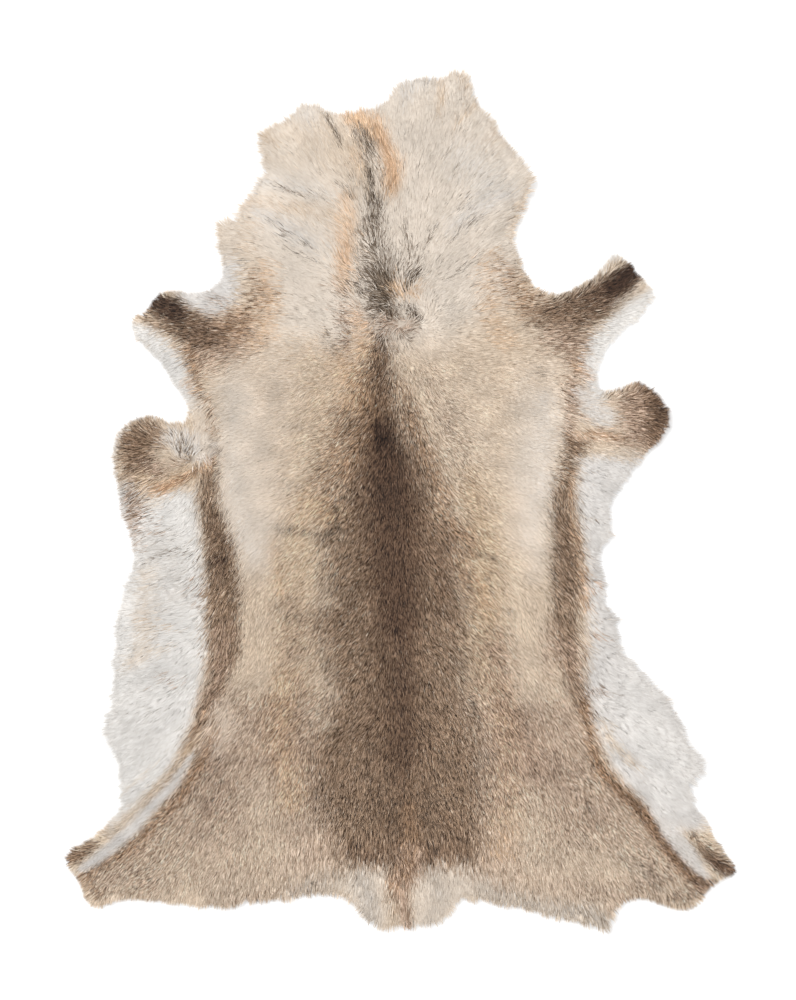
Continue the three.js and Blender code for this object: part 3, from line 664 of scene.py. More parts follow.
def depth_in_streak(points, places):
    """How deep each point lies inside a streak, below nought outside it."""
    depth = np.full(len(points), -np.inf)
    for (x0, y0, w0), (x1, y1, w1) in zip(places, places[1:]):
        run = np.array((x1 - x0, y1 - y0))
        offset = points - (x0, y0)
        share = np.clip(offset @ run / (run @ run), 0, 1)
        distance = np.linalg.norm(offset - share[:, None] * run, axis=1)
        depth = np.maximum(depth, w0 + (w1 - w0) * share - distance)
    return depth


def coat_colour(x, y, rng, lock=None):
    """Linear colour of the hair at each place. Where a marking thins out, single hairs or
    whole locks take its colour and the others don't."""
    points = np.column_stack((x / UNIT + MIDDLE, y / UNIT))
    colours = np.tile(linear(COLOURS["sand"]), (len(points), 1))
    markings = GROUND + BACK + NECK + FORELEGS + BELLY + FLANKS + ELBOWS + HIND + RUMP
    for name, strength, soft, single, places in markings:
        shape = np.array(places, float)
        reach = soft + (shape[:, 2].max() if shape.shape[1] == 3 else 0)
        low, high = shape[:, :2].min(0) - reach, shape[:, :2].max(0) + reach
        near = np.flatnonzero(((points > low) & (points < high)).all(1))
        if not len(near):
            continue
        measure = depth_in_streak if shape.shape[1] == 3 else depth_in_patch
        share = np.clip(measure(points[near], shape) / soft * 0.5 + 0.5, 0, 1)
        share = strength * share * share * (3 - 2 * share)
        luck = rng.random(len(near))
        if lock is not None:
            shared = rng.random(lock.max() + 1)[lock[near]]
            luck = np.where(rng.random(len(near)) < LOCKS_ALIKE, shared, luck)
        picked = luck < share
        share = (1 - single) * share + single * picked
        colours[near] += (linear(COLOURS[name]) - colours[near]) * share[:, None]
    return colours


def woolly(name, colour_name):
    """Matt underfur that takes its colour from the mesh, with a fine fleecy grain."""
    material, nodes, links, shader = new_material(name)
    dyed = nodes.new("ShaderNodeAttribute")
    dyed.attribute_name = colour_name
    grain = noise(nodes, links, scale=700)
    grain_shade = colour_steps(nodes, [(0.3, (0.72, 0.70, 0.68)), (0.7, (1, 1, 1))])
    links.new(grain.outputs["Fac"], grain_shade.inputs["Fac"])
    colour = multiplied(nodes, links, dyed.outputs["Color"], grain_shade.outputs["Color"])
    links.new(colour, shader.inputs["Base Color"])
    nap(nodes, links, shader, grain, strength=0.6, distance=0.0015)
    shader.inputs["Roughness"].default_value = 0.95
    shader.inputs["Specular IOR Level"].default_value = 0.1
    return material


fleece = solid.copy()
bmesh.ops.subdivide_edges(fleece, edges=fleece.edges, cuts=1, use_grid_fill=True)
for vert, bottom in zip(fleece.verts, heights(fleece, under_map)):
    coat = vert.co.z - max(bottom, 0)
    wool = max(coat * FUR_SHARE, coat - FUR_DEPTH - FUR_LIFT)
    vert.co.z = max(bottom, 0) + FUR_LIFT + min(coat, wool)
draw_in(fleece, SKIN_MARGIN + FUR_INSET)
for face in fleece.faces:
    face.smooth = True
undercoat = make_piece(fleece, "hide_undercoat")
fur_places = np.array([vert.co[:2] for vert in undercoat.data.vertices])
fur_rng = np.random.default_rng(FUR_SEED)
# The underfur takes the colour of the hair above it, darkened by painted shade.
fur_colour = coat_colour(fur_places[:, 0], fur_places[:, 1], fur_rng) * UNDERFUR_PAINTED_SHADE
dye = undercoat.data.attributes.new("fur_colour", "FLOAT_COLOR", "POINT")
fur_dye = np.column_stack((fur_colour, np.ones(len(fur_colour))))
dye.data.foreach_set("color", fur_dye.astype("f").ravel())
undercoat.data.materials.append(woolly("underfur", "fur_colour"))
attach(undercoat, "root")


# Guard hair. Hollow, slightly brittle hair that grows from the skin in small locks. What shows of
# it is about 8 to 11 mm long on the back and the hind legs, 9 to 18 mm on most of the forelegs and
# the elbows, and 26 to 32 mm on most of the neck and the outer belly. It turns away from a whorl
# between the shoulders: towards the head on the neck, and backwards and outwards on the body.

LOCK_SPACING = 0.0026        # from one lock to the next
ROW_SPACING = 0.87           # from one row of locks to the next, in lock spacings
LOCK_SHIFT = 0.25            # how far locks stand out of their places, in lock spacings
OUTERMOST = 0.5              # locks grow up to this share of the skin's margin from the border
HAIRS_IN_LOCK = 8
LOCK_RADIUS = 0.0030
LOCK_CLOSING = 0.45          # how far a lock's tips close up, 1 being fully
LONG_HAIR = (0.012, 0.020)   # between these lengths the locks thin out
LONG_HAIR_SHARE = 0.42       # to this share of their number
STRAIGHT = 0.015             # hair up to this length shows no bend and has three corners, not four
LOCK_LENGTHS = 0.10          # spread of length from lock to lock, as a share
HAIR_LENGTHS = (0.75, 1.12)  # shortest and longest hair of a lock, as shares of its length

# Parts that a place's unruliness has in a lock's heading and in a single hair's.
SWAY = 0.6
RUFFLE = 0.6
LOCK_STRAY = 0.5
HAIR_STRAY = 0.45

HAIR_WIDTH = 0.0010          # a bundle of hairs that lie together
HAIR_WIDTHS = (0.7, 1.3)     # narrowest and widest, as shares of that
FULL_WIDTH = 0.012           # shorter hair is narrower
WIDTH_LIMITS = (0.8, 1.1)    # but within these shares
WIDEST_AT = 0.42             # where along its length a long bundle bends and is widest
BEND = 0.04                  # spread of the sideways bend, in lengths
ROLL = math.radians(14)      # spread of the turn about its own length
ROOT_SINK = 0.30             # how deep a bundle starts, in its own lengths
BELLY_SINK = 0.05            # how deep its middle lies, in its own lengths
DEEPEST_SINK = 0.45          # both at most, as a share of the coat
TIP_RISE = 0.0006
LOWEST_TIP = 0.001
LOCK_LIFT = 0.0004           # spread of the tips' height from lock to lock
HAIR_LIFT = 0.0005           # and from hair to hair
MIDDLE_LIFT = 0.6            # the middle's share in both
CALMING = (0.012, 0.024)     # between these lengths hair comes to lie more evenly
LONG_LIFT = 0.6              # with these shares of the lift
LONG_ROLL = 0.5              # and of the roll

# The border. Locks near it turn outwards, hide the cut edge and end in uneven tufts.
TURNING = 0.95               # how far the outermost locks turn outwards, 1 being fully
TURN_DEPTH = 0.014           # the turning fades out over this depth
TURN_REACH = 1.2             # and is gone at this many times that depth
COVER_DEPTH = 0.011          # locks that stand nearer to the border than this
COVER_PAST = 0.005           # are long enough to reach this far past it
OVERHANG = 0.40              # how far a lock reaches past the border, in its lengths
TUFTS = (0.45, 0.35, 0.25)   # the usual share of that, and its spread by place and by lock
TUFT_CURVE = 1.5
LONG_BORDER = (0.012, 0.026)   # between these lengths locks come to stop short of the border
LONG_BORDER_STOP = 0.003     # by this much
RAGGED = (0.001, 0.08)       # how uneven hairs end there, in metres and in their own lengths
SHORTEST_STUMP = 0.15        # what is left of a stopped hair, at least
# Places where locks reach less far, or further where the last column is below nought. Columns:
# across, along and reach in units of the pattern, and by how many millimetres.
TRIMMED = [
    (118, 330, 60, 4), (118, 250, 40, 5), (290, -190, 45, 7), (300, -250, 40, 3.5),
    (228, -130, 30, 3), (-135, 290, 30, 3), (225, -10, 30, 2), (276, 80, 22, 4), (-286, 40, 30, 3),
    (-330, -370, 30, -4), (-298, -398, 30, -4), (300, -402, 30, -4), (338, -376, 20, -4),
    (-100, -395, 60, -2),
]

# How the hair lies. Columns: across, along in units of the pattern, heading in degrees
# (0 to the right, 90 towards the head), showing length in mm, unruliness in degrees.
LIE = [
    # neck
    (0, 405, 92, 26, 7), (40, 410, 84, 26, 7), (-85, 385, 112, 26, 8), (-115, 365, 138, 26, 8),
    (-135, 355, 152, 26, 8), (-75, 345, 120, 26, 8), (-40, 370, 112, 24, 12), (-20, 345, 96, 24, 10),
    (25, 345, 72, 28, 6), (80, 350, 52, 30, 5), (105, 335, 42, 30, 5), (125, 310, 24, 30, 6),
    (90, 300, 32, 30, 5), (50, 320, 58, 30, 5), (-140, 310, 160, 30, 7), (-100, 310, 152, 28, 6),
    (-60, 310, 136, 26, 8), (-165, 275, 170, 30, 7), (-110, 265, 142, 30, 6), (-60, 265, 135, 26, 8),
    (-30, 322, 100, 24, 18), (-28, 270, 112, 26, 20), (-22, 235, 115, 26, 24), (-5, 255, 78, 26, 14),
    (10, 235, 62, 26, 16), (35, 255, 46, 28, 7), (75, 270, 34, 30, 5), (110, 270, 12, 28, 6),
    (-50, 215, 145, 22, 12), (-18, 205, 100, 24, 26), (12, 212, 55, 22, 14), (45, 212, 28, 26, 7),
    (85, 215, 12, 20, 6), (115, 222, 8, 18, 6), (-90, 215, 160, 26, 6), (-8, 185, 95, 13, 55),
    (12, 186, 60, 13, 45), (-28, 185, 150, 15, 35), (-8, 172, 200, 12, 50), (14, 170, 330, 12, 35),
    (-34, 168, 190, 13, 25),
    # shoulders and forelegs
    (-100, 180, 178, 20, 6), (-140, 205, 178, 16, 6), (-165, 240, 186, 26, 8), (-160, 170, 182, 14, 6),
    (-200, 175, 176, 10, 6), (-235, 192, 170, 9, 6), (-190, 205, 165, 22, 8), (-250, 172, 200, 16, 6),
    (-230, 145, 214, 18, 6), (-205, 130, 214, 12, 6), (-180, 130, 196, 14, 6), (-190, 85, 232, 16, 8),
    (80, 170, 0, 18, 6), (120, 180, 4, 15, 6), (130, 215, 6, 16, 6), (170, 192, 14, 11, 6),
    (215, 212, 30, 9, 6), (235, 225, 34, 9, 6), (200, 165, -4, 16, 6), (240, 195, 12, 16, 6),
    (160, 150, -4, 13, 6), (190, 130, -28, 16, 7), (170, 115, -22, 14, 7), (208, 238, 50, 16, 6),
    # elbows
    (-212, 52, 90, 16, 30), (-200, 70, 60, 16, 14), (-225, 65, 130, 16, 14), (-250, 75, 140, 13, 8),
    (-270, 55, 170, 13, 8), (-245, 35, 200, 13, 8), (-265, 10, 210, 16, 8), (-222, 25, 200, 14, 8),
    (-195, 40, 300, 14, 10), (-190, 15, 268, 14, 8),
    (185, 100, -8, 16, 10), (195, 85, -25, 16, 12), (220, 85, -4, 14, 7), (250, 105, 22, 13, 8),
    (262, 80, -12, 13, 8), (250, 60, -30, 14, 8), (215, 62, -14, 14, 8), (180, 58, -30, 14, 8),
    # chest and back
    (-8, 160, 262, 11, 16), (-22, 145, 240, 10, 10), (10, 145, 300, 10, 8), (-80, 140, 190, 9, 8),
    (-130, 110, 192, 9, 6), (-170, 95, 196, 9, 6), (60, 130, -20, 9, 6), (120, 110, -14, 9, 6),
    (-20, 100, 262, 8, 9), (-10, 60, 266, 8, 8), (-45, 80, 222, 9, 8), (20, 80, 312, 9, 7),
    (-90, 60, 204, 9, 7), (-140, 50, 194, 10, 6), (-180, 40, 200, 9, 6), (60, 60, 326, 9, 6),
    (110, 50, 336, 9, 6), (150, 40, 340, 9, 6), (-8, 0, 268, 8, 7), (-4, -100, 269, 8, 7),
    (0, -200, 270, 9, 7), (0, -300, 270, 9, 7), (2, -360, 270, 11, 8),
    (-40, 0, 238, 8, 7), (-90, 0, 214, 9, 7), (-140, 0, 196, 10, 6), (35, 0, 306, 8, 7),
    (80, 0, 330, 9, 7), (130, 0, 338, 10, 6), (-50, -60, 236, 8, 7), (-110, -60, 222, 9, 7),
    (45, -60, 308, 8, 7), (90, -60, 322, 9, 7), (130, -60, 328, 10, 6),
    (-50, -140, 232, 8, 7), (-110, -120, 226, 9, 7), (-145, -110, 252, 10, 6), (45, -140, 310, 8, 7),
    (90, -130, 316, 9, 7), (128, -120, 296, 10, 6), (-40, -220, 238, 9, 7), (-100, -200, 230, 9, 7),
    (-150, -190, 238, 10, 7), (40, -220, 304, 9, 7), (95, -210, 310, 9, 7), (145, -200, 300, 10, 7),
    (-45, -300, 252, 9, 7), (-110, -290, 250, 10, 7), (45, -300, 290, 9, 7), (105, -290, 292, 10, 7),
    # flanks and belly borders
    (-190, -10, 258, 10, 7), (-180, -60, 250, 11, 8), (-172, -130, 256, 12, 8), (-190, -195, 240, 12, 8),
    (162, 0, 285, 10, 7), (166, -60, 290, 11, 8), (166, -120, 292, 12, 8), (178, -190, 300, 12, 8),
    (-240, -20, 196, 26, 5), (-225, -60, 192, 26, 5), (-250, -100, 190, 28, 4), (-220, -120, 194, 28, 5),
    (-240, -170, 200, 30, 4), (-270, -220, 208, 30, 4), (-230, -230, 222, 30, 4), (-265, -280, 216, 28, 4),
    (200, 10, 344, 26, 5), (205, -60, 350, 26, 5), (205, -120, 344, 28, 5), (215, -180, 346, 30, 4),
    (250, -200, 340, 32, 4), (235, -250, 325, 32, 4), (290, -250, 338, 32, 4), (270, -290, 325, 30, 4),
    # hind legs, rump and tail
    (-205, -265, 232, 8, 6), (-240, -305, 222, 9, 6), (-285, -345, 216, 8, 6), (-325, -355, 205, 8, 6),
    (-190, -300, 242, 9, 7), (-240, -350, 227, 8, 7), (-300, -385, 228, 8, 7), (-140, -345, 260, 10, 7),
    (-200, -380, 250, 10, 7), (-180, -400, 262, 22, 8), (-90, -380, 264, 22, 8),
    (195, -265, 310, 8, 6), (235, -305, 316, 8, 6), (265, -325, 318, 9, 6), (290, -345, 318, 8, 6),
    (315, -362, 325, 8, 6), (270, -365, 316, 8, 7), (190, -330, 300, 9, 7), (240, -355, 313, 8, 7),
    (290, -395, 316, 8, 7), (140, -340, 282, 10, 7), (190, -390, 290, 11, 7), (140, -400, 278, 24, 8),
    (200, -418, 290, 24, 8), (80, -380, 272, 22, 8),
    (-40, -385, 262, 26, 7), (-30, -415, 258, 26, 8), (5, -380, 270, 24, 8), (6, -415, 270, 26, 8),
    (38, -385, 276, 26, 7), (38, -415, 282, 26, 8),
]
LIE_SHARPNESS = 3.0          # how closely each place keeps to the nearest rows
LIE_BLEND = 60               # and how softly it passes from one to the next
WHORL = (-8, 182)            # where the hair parts between the shoulders
WHORL_SIZE = 26              # reach of the swirl round it
WHORL_TURN = math.radians(70)
HAIR_SEED = 73


def hair_lie(x, y):
    """Heading in radians, showing length in metres and unruliness in radians at each place."""
    table = np.array(LIE, float)
    across = x / UNIT + MIDDLE
    along = y / UNIT
    heading_x = np.zeros(len(x))
    heading_y = np.zeros(len(x))
    length = np.zeros(len(x))
    unruly = np.zeros(len(x))
    total = np.zeros(len(x))
    for row_across, row_along, heading, row_length, row_unruly in table:
        square = (across - row_across) ** 2 + (along - row_along) ** 2
        weight = (square + LIE_BLEND) ** (-LIE_SHARPNESS / 2)
        heading_x += weight * math.cos(math.radians(heading))
        heading_y += weight * math.sin(math.radians(heading))
        length += weight * row_length
        unruly += weight * row_unruly
        total += weight
    from_whorl = np.hypot(across - WHORL[0], along - WHORL[1])
    swirl = WHORL_TURN * np.exp(-(from_whorl / WHORL_SIZE) ** 2)
    heading = np.arctan2(heading_y, heading_x) + swirl
    return heading, length / total / 1000, np.radians(unruly / total)


def drift(rng, passes):
    """A smooth random map with a spread of 1, wider for more passes."""
    values = rng.standard_normal(depth_map.shape)
    for _ in range(passes):
        values = neighbours(values) / 9
    return values / values.std()


hair_rng = np.random.default_rng(HAIR_SEED)
sway_map = drift(hair_rng, passes=12)
ruffle_map = drift(hair_rng, passes=2)
shade_map = drift(hair_rng, passes=5)
tuft_map = drift(hair_rng, passes=1)

# Locks stand in staggered rows, each a little out of place.
rows = np.arange(hide_low.y, hide_high.y, LOCK_SPACING * ROW_SPACING)
columns = np.arange(hide_low.x, hide_high.x, LOCK_SPACING)
lock_x, lock_y = np.meshgrid(columns, rows)
lock_x = lock_x + (np.arange(len(rows)) % 2)[:, None] * LOCK_SPACING / 2
lock_x = (lock_x + hair_rng.normal(0, LOCK_SPACING * LOCK_SHIFT, lock_x.shape)).ravel()
lock_y = (lock_y + hair_rng.normal(0, LOCK_SPACING * LOCK_SHIFT, lock_y.shape)).ravel()
lock_length = hair_lie(lock_x, lock_y)[1]
grown = read(depth_map, lock_x, lock_y) > SKIN_MARGIN * OUTERMOST
grown &= hair_rng.random(len(lock_x)) < np.interp(lock_length, LONG_HAIR, (1, LONG_HAIR_SHARE))
lock_x = lock_x[grown]
lock_y = lock_y[grown]
lock_count = len(lock_x)

lock_heading, lock_length, lock_unruly = hair_lie(lock_x, lock_y)
lock_heading += lock_unruly * (
    SWAY * read(sway_map, lock_x, lock_y)
    + RUFFLE * read(ruffle_map, lock_x, lock_y)
    + LOCK_STRAY * hair_rng.standard_normal(lock_count)
)
# Near the border the hair turns outwards and hides the cut edge.
lock_depth = read(depth_map, lock_x, lock_y)
outward = np.arctan2(-read(slope_y, lock_x, lock_y), -read(slope_x, lock_x, lock_y))
turn = (outward - lock_heading + np.pi) % (2 * np.pi) - np.pi
lock_heading += turn * TURNING * np.clip(TURN_REACH - lock_depth / TURN_DEPTH, 0, 1)
covering = np.maximum(lock_length, lock_depth + COVER_PAST)
lock_length = np.where(lock_depth < COVER_DEPTH, covering, lock_length)
lock_length *= 1 + LOCK_LENGTHS * hair_rng.standard_normal(lock_count)
lock_shade = hair_rng.standard_normal(lock_count)
lock_height = hair_rng.standard_normal(lock_count)

# Every hair of every lock.
of_lock = np.repeat(np.arange(lock_count), HAIRS_IN_LOCK)
hair_count = len(of_lock)
swing = hair_rng.uniform(0, 2 * np.pi, hair_count)
spread = LOCK_RADIUS * np.sqrt(hair_rng.random(hair_count))
offset = np.column_stack((spread * np.cos(swing), spread * np.sin(swing)))
root = np.column_stack((lock_x, lock_y))[of_lock] + offset
stray = lock_unruly[of_lock] * HAIR_STRAY * hair_rng.standard_normal(hair_count)
heading = lock_heading[of_lock] + stray
length = lock_length[of_lock] * hair_rng.uniform(*HAIR_LENGTHS, hair_count)
course = np.column_stack((np.cos(heading), np.sin(heading)))
tip = root + course * length[:, None] - offset * LOCK_CLOSING
# Tips that would reach too far past the border stop there.
depth_root = read(depth_map, root[:, 0], root[:, 1])
depth_tip = read(depth_map, tip[:, 0], tip[:, 1])
usual_tuft, tuft_by_place, tuft_by_lock = TUFTS
tufts = usual_tuft + tuft_by_place * read(tuft_map, lock_x, lock_y)
tufts += tuft_by_lock * hair_rng.standard_normal(lock_count)
lock_overhang = lock_length * OVERHANG * tufts.clip(0, 1) ** TUFT_CURVE
lock_limit = np.interp(lock_length, LONG_BORDER, (0, LONG_BORDER_STOP)) - lock_overhang
for trim_across, trim_along, reach, trim in TRIMMED:
    away = np.hypot(lock_x / UNIT + MIDDLE - trim_across, lock_y / UNIT - trim_along)
    lock_limit += trim / 1000 * np.exp(-(away / reach) ** 2)
ragged = RAGGED[0] + RAGGED[1] * length
limit = lock_limit[of_lock] - ragged * hair_rng.standard_normal(hair_count)
run = np.maximum(depth_root - depth_tip, 1e-6)
kept = np.clip((depth_root - limit) / run, SHORTEST_STUMP, 1)
kept = np.where(depth_tip < limit, kept, 1)
tip = root + (tip - root) * kept[:, None]
length = np.linalg.norm(tip - root, axis=1)
course = (tip - root) / length[:, None]
middle = root + (tip - root) * WIDEST_AT
sideways = np.column_stack((-course[:, 1], course[:, 0]))
bend = hair_rng.normal(0, BEND, hair_count) * length
middle += sideways * bend[:, None]


def coat_height(places, sink, extra):
    """Height above the floor, so far below the coat's top."""
    top = read(top_map, places[:, 0], places[:, 1])
    under = np.maximum(read(under_map, places[:, 0], places[:, 1]), 0)
    return top - np.minimum(sink, (top - under) * DEEPEST_SINK) + extra


lift = LOCK_LIFT * lock_height[of_lock] + HAIR_LIFT * hair_rng.standard_normal(hair_count)
lift *= np.interp(length, CALMING, (1, LONG_LIFT))
root_z = coat_height(root, length * ROOT_SINK, 0)
middle_z = coat_height(middle, length * BELLY_SINK, MIDDLE_LIFT * lift)
tip_z = np.maximum(coat_height(tip, 0, lift + TIP_RISE), LOWEST_TIP)
half = HAIR_WIDTH / 2 * hair_rng.uniform(*HAIR_WIDTHS, hair_count)
half *= np.clip(length / FULL_WIDTH, *WIDTH_LIMITS)
roll = hair_rng.normal(0, ROLL, hair_count) * np.interp(length, CALMING, (1, LONG_ROLL))
to_edge = np.column_stack((sideways * (np.cos(roll) * half)[:, None], np.sin(roll) * half))

GREY_WEIGHTS = np.array((0.2126, 0.7152, 0.0722))    # brightness of a linear colour
MARKING_STREAK = 0.35        # how far a colour strays along the hair, in its lengths
MARKING_STRAY = 0.0012       # and across it
# Columns: brightness of the coat, spread of brightness from hair to hair, and how much lighter
# single hairs are than the coat, which lies in their shade.
TICKING = np.array([
    (0.05, 1.15, 1.20),
    (0.16, 1.00, 1.17),
    (0.38, 0.52, 1.05),
    (0.48, 0.28, 1.00),
    (0.62, 0.055, 0.95),
    (0.75, 0.015, 0.93),
])
TICKING_REACH = 1.7          # the palest and darkest hairs, in spreads
WIDEST_TICKING = 1.5         # no spread is wider than this
LOCK_TICKING = 0.25          # the lock's part in that spread
LOCK_TICKING_REACH = 1.5
TICKING_CURVE = 1.4 * np.array((0.90, 1.02, 1.16))   # darker hairs are redder than pale ones
TICKING_LIMITS = (0.12, 2.2)
SHORT_AND_LONG = (0.009, 0.014, 0.022)
LONG_TICKING = (1.1, 0.60, 0.42)   # longer hair is more even
SHORT_PALE = 0.11            # short pale hair shows more of its dull roots, so it starts out brighter
PALE_FROM = (0.38, 0.52)     # hair counts as pale between these brightnesses
SHORT_UP_TO = (0.010, 0.020)
CLOUDING = 0.045             # broad soft patches, lighter and darker
COLOUR_LIMITS = (0.004, 0.93)

# Each hair takes the colour of where its visible half lies, moved about along the lie so that
# markings end in streaks. Then it gets lighter or darker, by lock and by hair.
wander = hair_rng.normal(0, MARKING_STREAK, hair_count) * length
aside = hair_rng.normal(0, MARKING_STRAY, hair_count)
seen = middle + course * wander[:, None] + sideways * aside[:, None]
hair_colour = coat_colour(seen[:, 0], seen[:, 1], hair_rng, of_lock)
grey = hair_colour @ GREY_WEIGHTS
vary = np.interp(grey, TICKING[:, 0], TICKING[:, 1])
vary *= np.interp(length, SHORT_AND_LONG, LONG_TICKING)
gain = np.interp(grey, TICKING[:, 0], TICKING[:, 2])
pale = np.interp(grey, PALE_FROM, (0, 1))
gain *= 1 + SHORT_PALE * pale * np.interp(length, SHORT_UP_TO, (1, 0))
level = hair_rng.uniform(-TICKING_REACH, TICKING_REACH, hair_count)
level += LOCK_TICKING * lock_shade[of_lock].clip(-LOCK_TICKING_REACH, LOCK_TICKING_REACH)
shade = (1 + vary * level).clip(*TICKING_LIMITS)[:, None] ** TICKING_CURVE
# The mean over all levels is taken out again, so that the coat keeps its own colour.
spreads = np.linspace(0, WIDEST_TICKING, 16)
levels = np.linspace(-TICKING_REACH, TICKING_REACH, 101)
even = (1 + spreads[:, None] * levels).clip(*TICKING_LIMITS)
for channel in range(3):
    shade[:, channel] /= np.interp(vary, spreads, (even ** TICKING_CURVE[channel]).mean(1))
shade *= (1 + CLOUDING * read(shade_map, seen[:, 0], seen[:, 1]))[:, None]
hair_colour = np.clip(hair_colour * gain[:, None] * shade, *COLOUR_LIMITS)

CARD_SIDE = 32               # cells along each side of the hair's colour card
CARD_RIM = 0.12              # left free round each cell, as a share of it


def palette_cells(colours, side=CARD_SIDE):
    """A place on a square colour card for each hair: rows by brightness, columns by warmth."""
    count = len(colours)
    by_light = np.argsort(colours @ GREY_WEIGHTS, kind="stable")
    row = np.empty(count, int)
    row[by_light] = np.arange(count) * side // count
    warmth = colours[:, 0] / np.maximum(colours[:, 2], 1e-4)
    order = np.lexsort((warmth, row))
    start = np.searchsorted(row[order], np.arange(side))
    size = np.bincount(row, minlength=side)
    rank = np.arange(count) - start[row[order]]
    column = np.empty(count, int)
    column[order] = rank * side // np.maximum(size[row[order]], 1)
    return row, column


def guard_hair():
    """Slightly silky hair: paler towards the tip, duller at the root, coloured hair by hair."""
    material, nodes, links, shader = new_material("guard hair")
    dyed = nodes.new("ShaderNodeAttribute")
    dyed.attribute_name = "hair_colour"
    along_hair = nodes.new("ShaderNodeUVMap")
    along_hair.uv_map = "HairLength"
    parts = nodes.new("ShaderNodeSeparateXYZ")
    links.new(along_hair.outputs["UV"], parts.inputs["Vector"])
    tone = colour_steps(nodes, [
        (0.00, (0.80, 0.78, 0.76)),
        (0.45, (0.97, 0.96, 0.95)),
        (0.80, (1.00, 1.00, 1.00)),
        (1.00, (0.90, 0.88, 0.86)),
    ])
    links.new(parts.outputs["Y"], tone.inputs["Fac"])
    colour = multiplied(nodes, links, dyed.outputs["Color"], tone.outputs["Color"])
    links.new(colour, shader.inputs["Base Color"])
    patchy = noise(nodes, links, scale=40, detail=2)
    gloss = nodes.new("ShaderNodeMapRange")
    gloss.inputs["To Min"].default_value = 0.52
    gloss.inputs["To Max"].default_value = 0.72
    links.new(patchy.outputs["Fac"], gloss.inputs["Value"])
    links.new(gloss.outputs["Result"], shader.inputs["Roughness"])
    shader.inputs["Specular IOR Level"].default_value = 0.25
    return material


def hair_piece(name, chosen, material):
    """One mesh of many hairs. A long one is a slim four-cornered blade, bent at its widest place,
    a short one a slim triangle, widest at the root."""
    chosen = chosen[np.argsort(straight[chosen], kind="stable")]
    bent = chosen[~straight[chosen]]
    short = chosen[straight[chosen]]
    deep = np.column_stack((root, root_z))
    widest = np.column_stack((middle[bent], middle_z[bent]))
    high = np.column_stack((tip, tip_z))
    blades = np.stack((deep[bent], widest - to_edge[bent], high[bent], widest + to_edge[bent]), axis=1)
    spikes = np.stack((deep[short] - to_edge[short], high[short], deep[short] + to_edge[short]), axis=1)
    first_blade = np.arange(len(bent))[:, None] * 4
    first_spike = len(bent) * 4 + np.arange(len(short))[:, None] * 3
    # A blade's corners are its root, left, tip and right, and it has two faces.
    loops = np.concatenate((
        (first_blade + np.array((0, 1, 3, 1, 2, 3))).ravel(),
        (first_spike + np.array((0, 1, 2))).ravel(),
    ))
    corners = np.concatenate((blades.reshape(-1, 3), spikes.reshape(-1, 3)))
    mesh = bpy.data.meshes.new(name)
    mesh.vertices.add(len(corners))
    mesh.vertices.foreach_set("co", corners.astype("f").ravel())
    mesh.loops.add(len(loops))
    mesh.loops.foreach_set("vertex_index", loops.astype("i"))
    mesh.polygons.add(len(loops) // 3)
    mesh.polygons.foreach_set("loop_start", np.arange(0, len(loops), 3, dtype="i"))
    mesh.polygons.foreach_set("loop_total", np.full(len(loops) // 3, 3, dtype="i"))
    mesh.update(calc_edges=True)
    dye = mesh.attributes.new("hair_colour", "FLOAT_COLOR", "POINT")
    dyed = np.column_stack((hair_colour[chosen], np.ones(len(chosen))))
    corner_count = np.where(straight[chosen], 3, 4)
    dye.data.foreach_set("color", np.repeat(dyed, corner_count, axis=0).astype("f").ravel())
    foot, left, right, end = (0.5, 0), (0, WIDEST_AT), (1, WIDEST_AT), (0.5, 1)
    share = np.concatenate((
        np.tile((foot, left, right, left, end, right), (len(bent), 1)),
        np.tile(((0, 0), end, (1, 0)), (len(short), 1)),
    ))
    length_map = mesh.uv_layers.new(name="HairLength")
    length_map.uv.foreach_set("vector", share.astype("f").ravel())
    row, column = palette_cells(hair_colour[chosen])
    cell = np.repeat(np.column_stack((column, row)), np.where(straight[chosen], 3, 6), axis=0)
    card_map = mesh.uv_layers.new(name="OFBake")
    card = (cell + CARD_RIM + (1 - 2 * CARD_RIM) * share) / CARD_SIDE
    card_map.uv.foreach_set("vector", card.astype("f").ravel())
    mesh.materials.append(material)
    piece = bpy.data.objects.new(name, mesh)
    bpy.context.scene.collection.objects.link(piece)
    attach(piece, "root")
    return piece


# The coat is made in five stretches, of about as many faces each, that meet unseen.
straight = length <= STRAIGHT


def portions(hairs, values, ends):
    """Shares out hairs in the order of some values, cut where their faces reach the given shares."""
    order = hairs[np.argsort(values[hairs])]
    faces = np.cumsum(np.where(straight[order], 1, 2))
    return np.split(order, np.searchsorted(faces, np.array(ends) * faces[-1]))


rump_hairs, trunk, neck_hairs = portions(np.arange(hair_count), root[:, 1], ends=(0.2, 0.8))
left_hairs, back_hairs, right_hairs = portions(trunk, root[:, 0], ends=(1 / 3, 2 / 3))
hair_look = guard_hair()
coat_parts = [
    hair_piece(name, hairs, hair_look)
    for name, hairs in (
        ("hair_neck", neck_hairs),
        ("hair_left_side", left_hairs),
        ("hair_back", back_hairs),
        ("hair_right_side", right_hairs),
        ("hair_rump", rump_hairs),
    )
]


# Floor, lamps and camera. A plain pale floor, one broad soft lamp up and to the left, a weaker
# one opposite, and an even pale sky. The camera looks straight down.

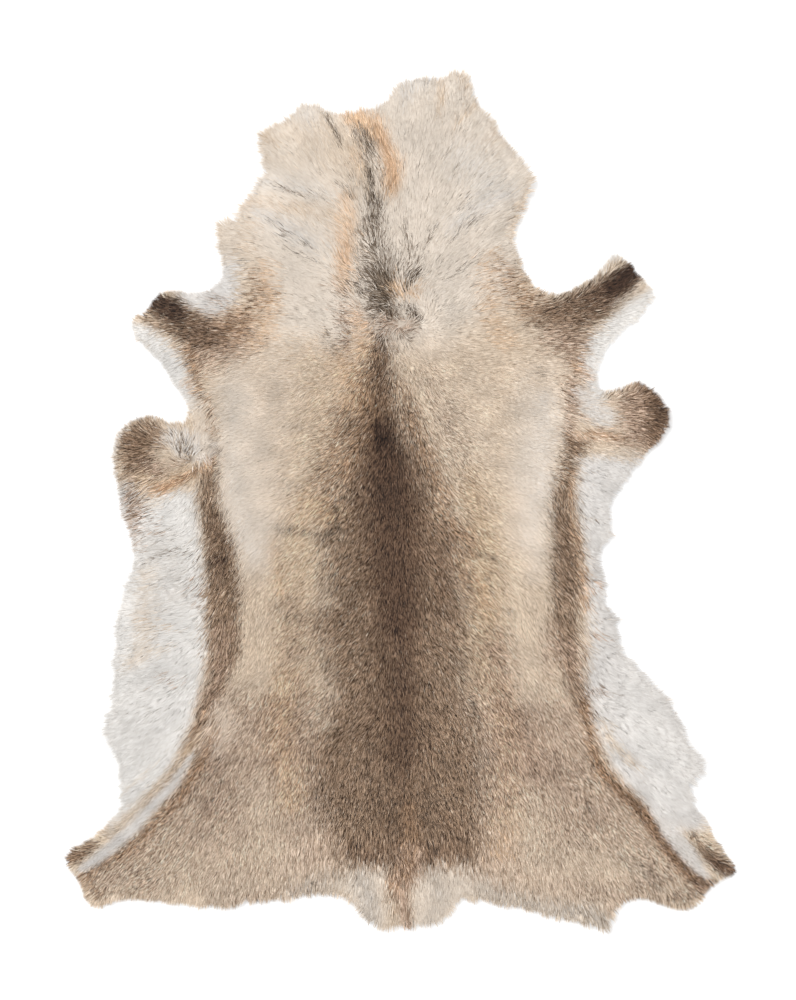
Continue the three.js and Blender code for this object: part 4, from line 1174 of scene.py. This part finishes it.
VIEW_HEIGHT = 1.4000         # what the view takes in at the hide, in metres
VIEW_CENTRE = (-0.007, 0.0)
CAMERA_HEIGHT = 3.4
SENSOR_HEIGHT = 36           # in millimetres
COAT_MIDDLE = 0.016          # height at which the view is measured
FLOOR_SIZE = 12.0
SKY_STRENGTH = 0.80


def pale_floor():
    """Matt off-white floor, very faintly mottled."""
    material, nodes, links, shader = new_material("pale floor")
    mottle = noise(nodes, links, scale=2, detail=2)
    shades = colour_steps(nodes, [(0.3, (0.93, 0.93, 0.93)), (0.7, (0.95, 0.95, 0.95))])
    links.new(mottle.outputs["Fac"], shades.inputs["Fac"])
    links.new(shades.outputs["Color"], shader.inputs["Base Color"])
    shader.inputs["Roughness"].default_value = 0.9
    shader.inputs["Specular IOR Level"].default_value = 0.1
    return material


floor_body = bmesh.new()
bmesh.ops.create_grid(floor_body, x_segments=1, y_segments=1, size=FLOOR_SIZE / 2)
floor = make_piece(floor_body, "floor")
floor.data.materials.append(pale_floor())


def soft_lamp(name, place, size, power):
    """A square lamp that faces the middle of the hide."""
    lamp = bpy.data.lights.new(name, "AREA")
    lamp.size = size
    lamp.energy = power
    holder = bpy.data.objects.new(name, lamp)
    holder.location = place
    holder.rotation_euler = (-Vector(place)).to_track_quat("-Z", "Y").to_euler()
    bpy.context.scene.collection.objects.link(holder)


soft_lamp("main lamp", place=(-3.0, 3.0, 5.6), size=4.0, power=330)
soft_lamp("fill lamp", place=(3.2, -2.0, 6.0), size=4.0, power=130)
sky = bpy.data.worlds.new("studio")
sky.use_nodes = True
glow = sky.node_tree.nodes["Background"]
glow.inputs["Color"].default_value = (1, 1, 1, 1)
glow.inputs["Strength"].default_value = SKY_STRENGTH
bpy.context.scene.world = sky
bpy.context.scene.view_settings.view_transform = "Standard"

camera_data = bpy.data.cameras.new("camera")
camera_data.sensor_fit = "VERTICAL"
camera_data.sensor_height = SENSOR_HEIGHT
camera_data.lens = SENSOR_HEIGHT * (CAMERA_HEIGHT - COAT_MIDDLE) / VIEW_HEIGHT
camera = bpy.data.objects.new("camera", camera_data)
camera.location = (*VIEW_CENTRE, CAMERA_HEIGHT)
bpy.context.scene.collection.objects.link(camera)
bpy.context.scene.camera = camera

solid.free()
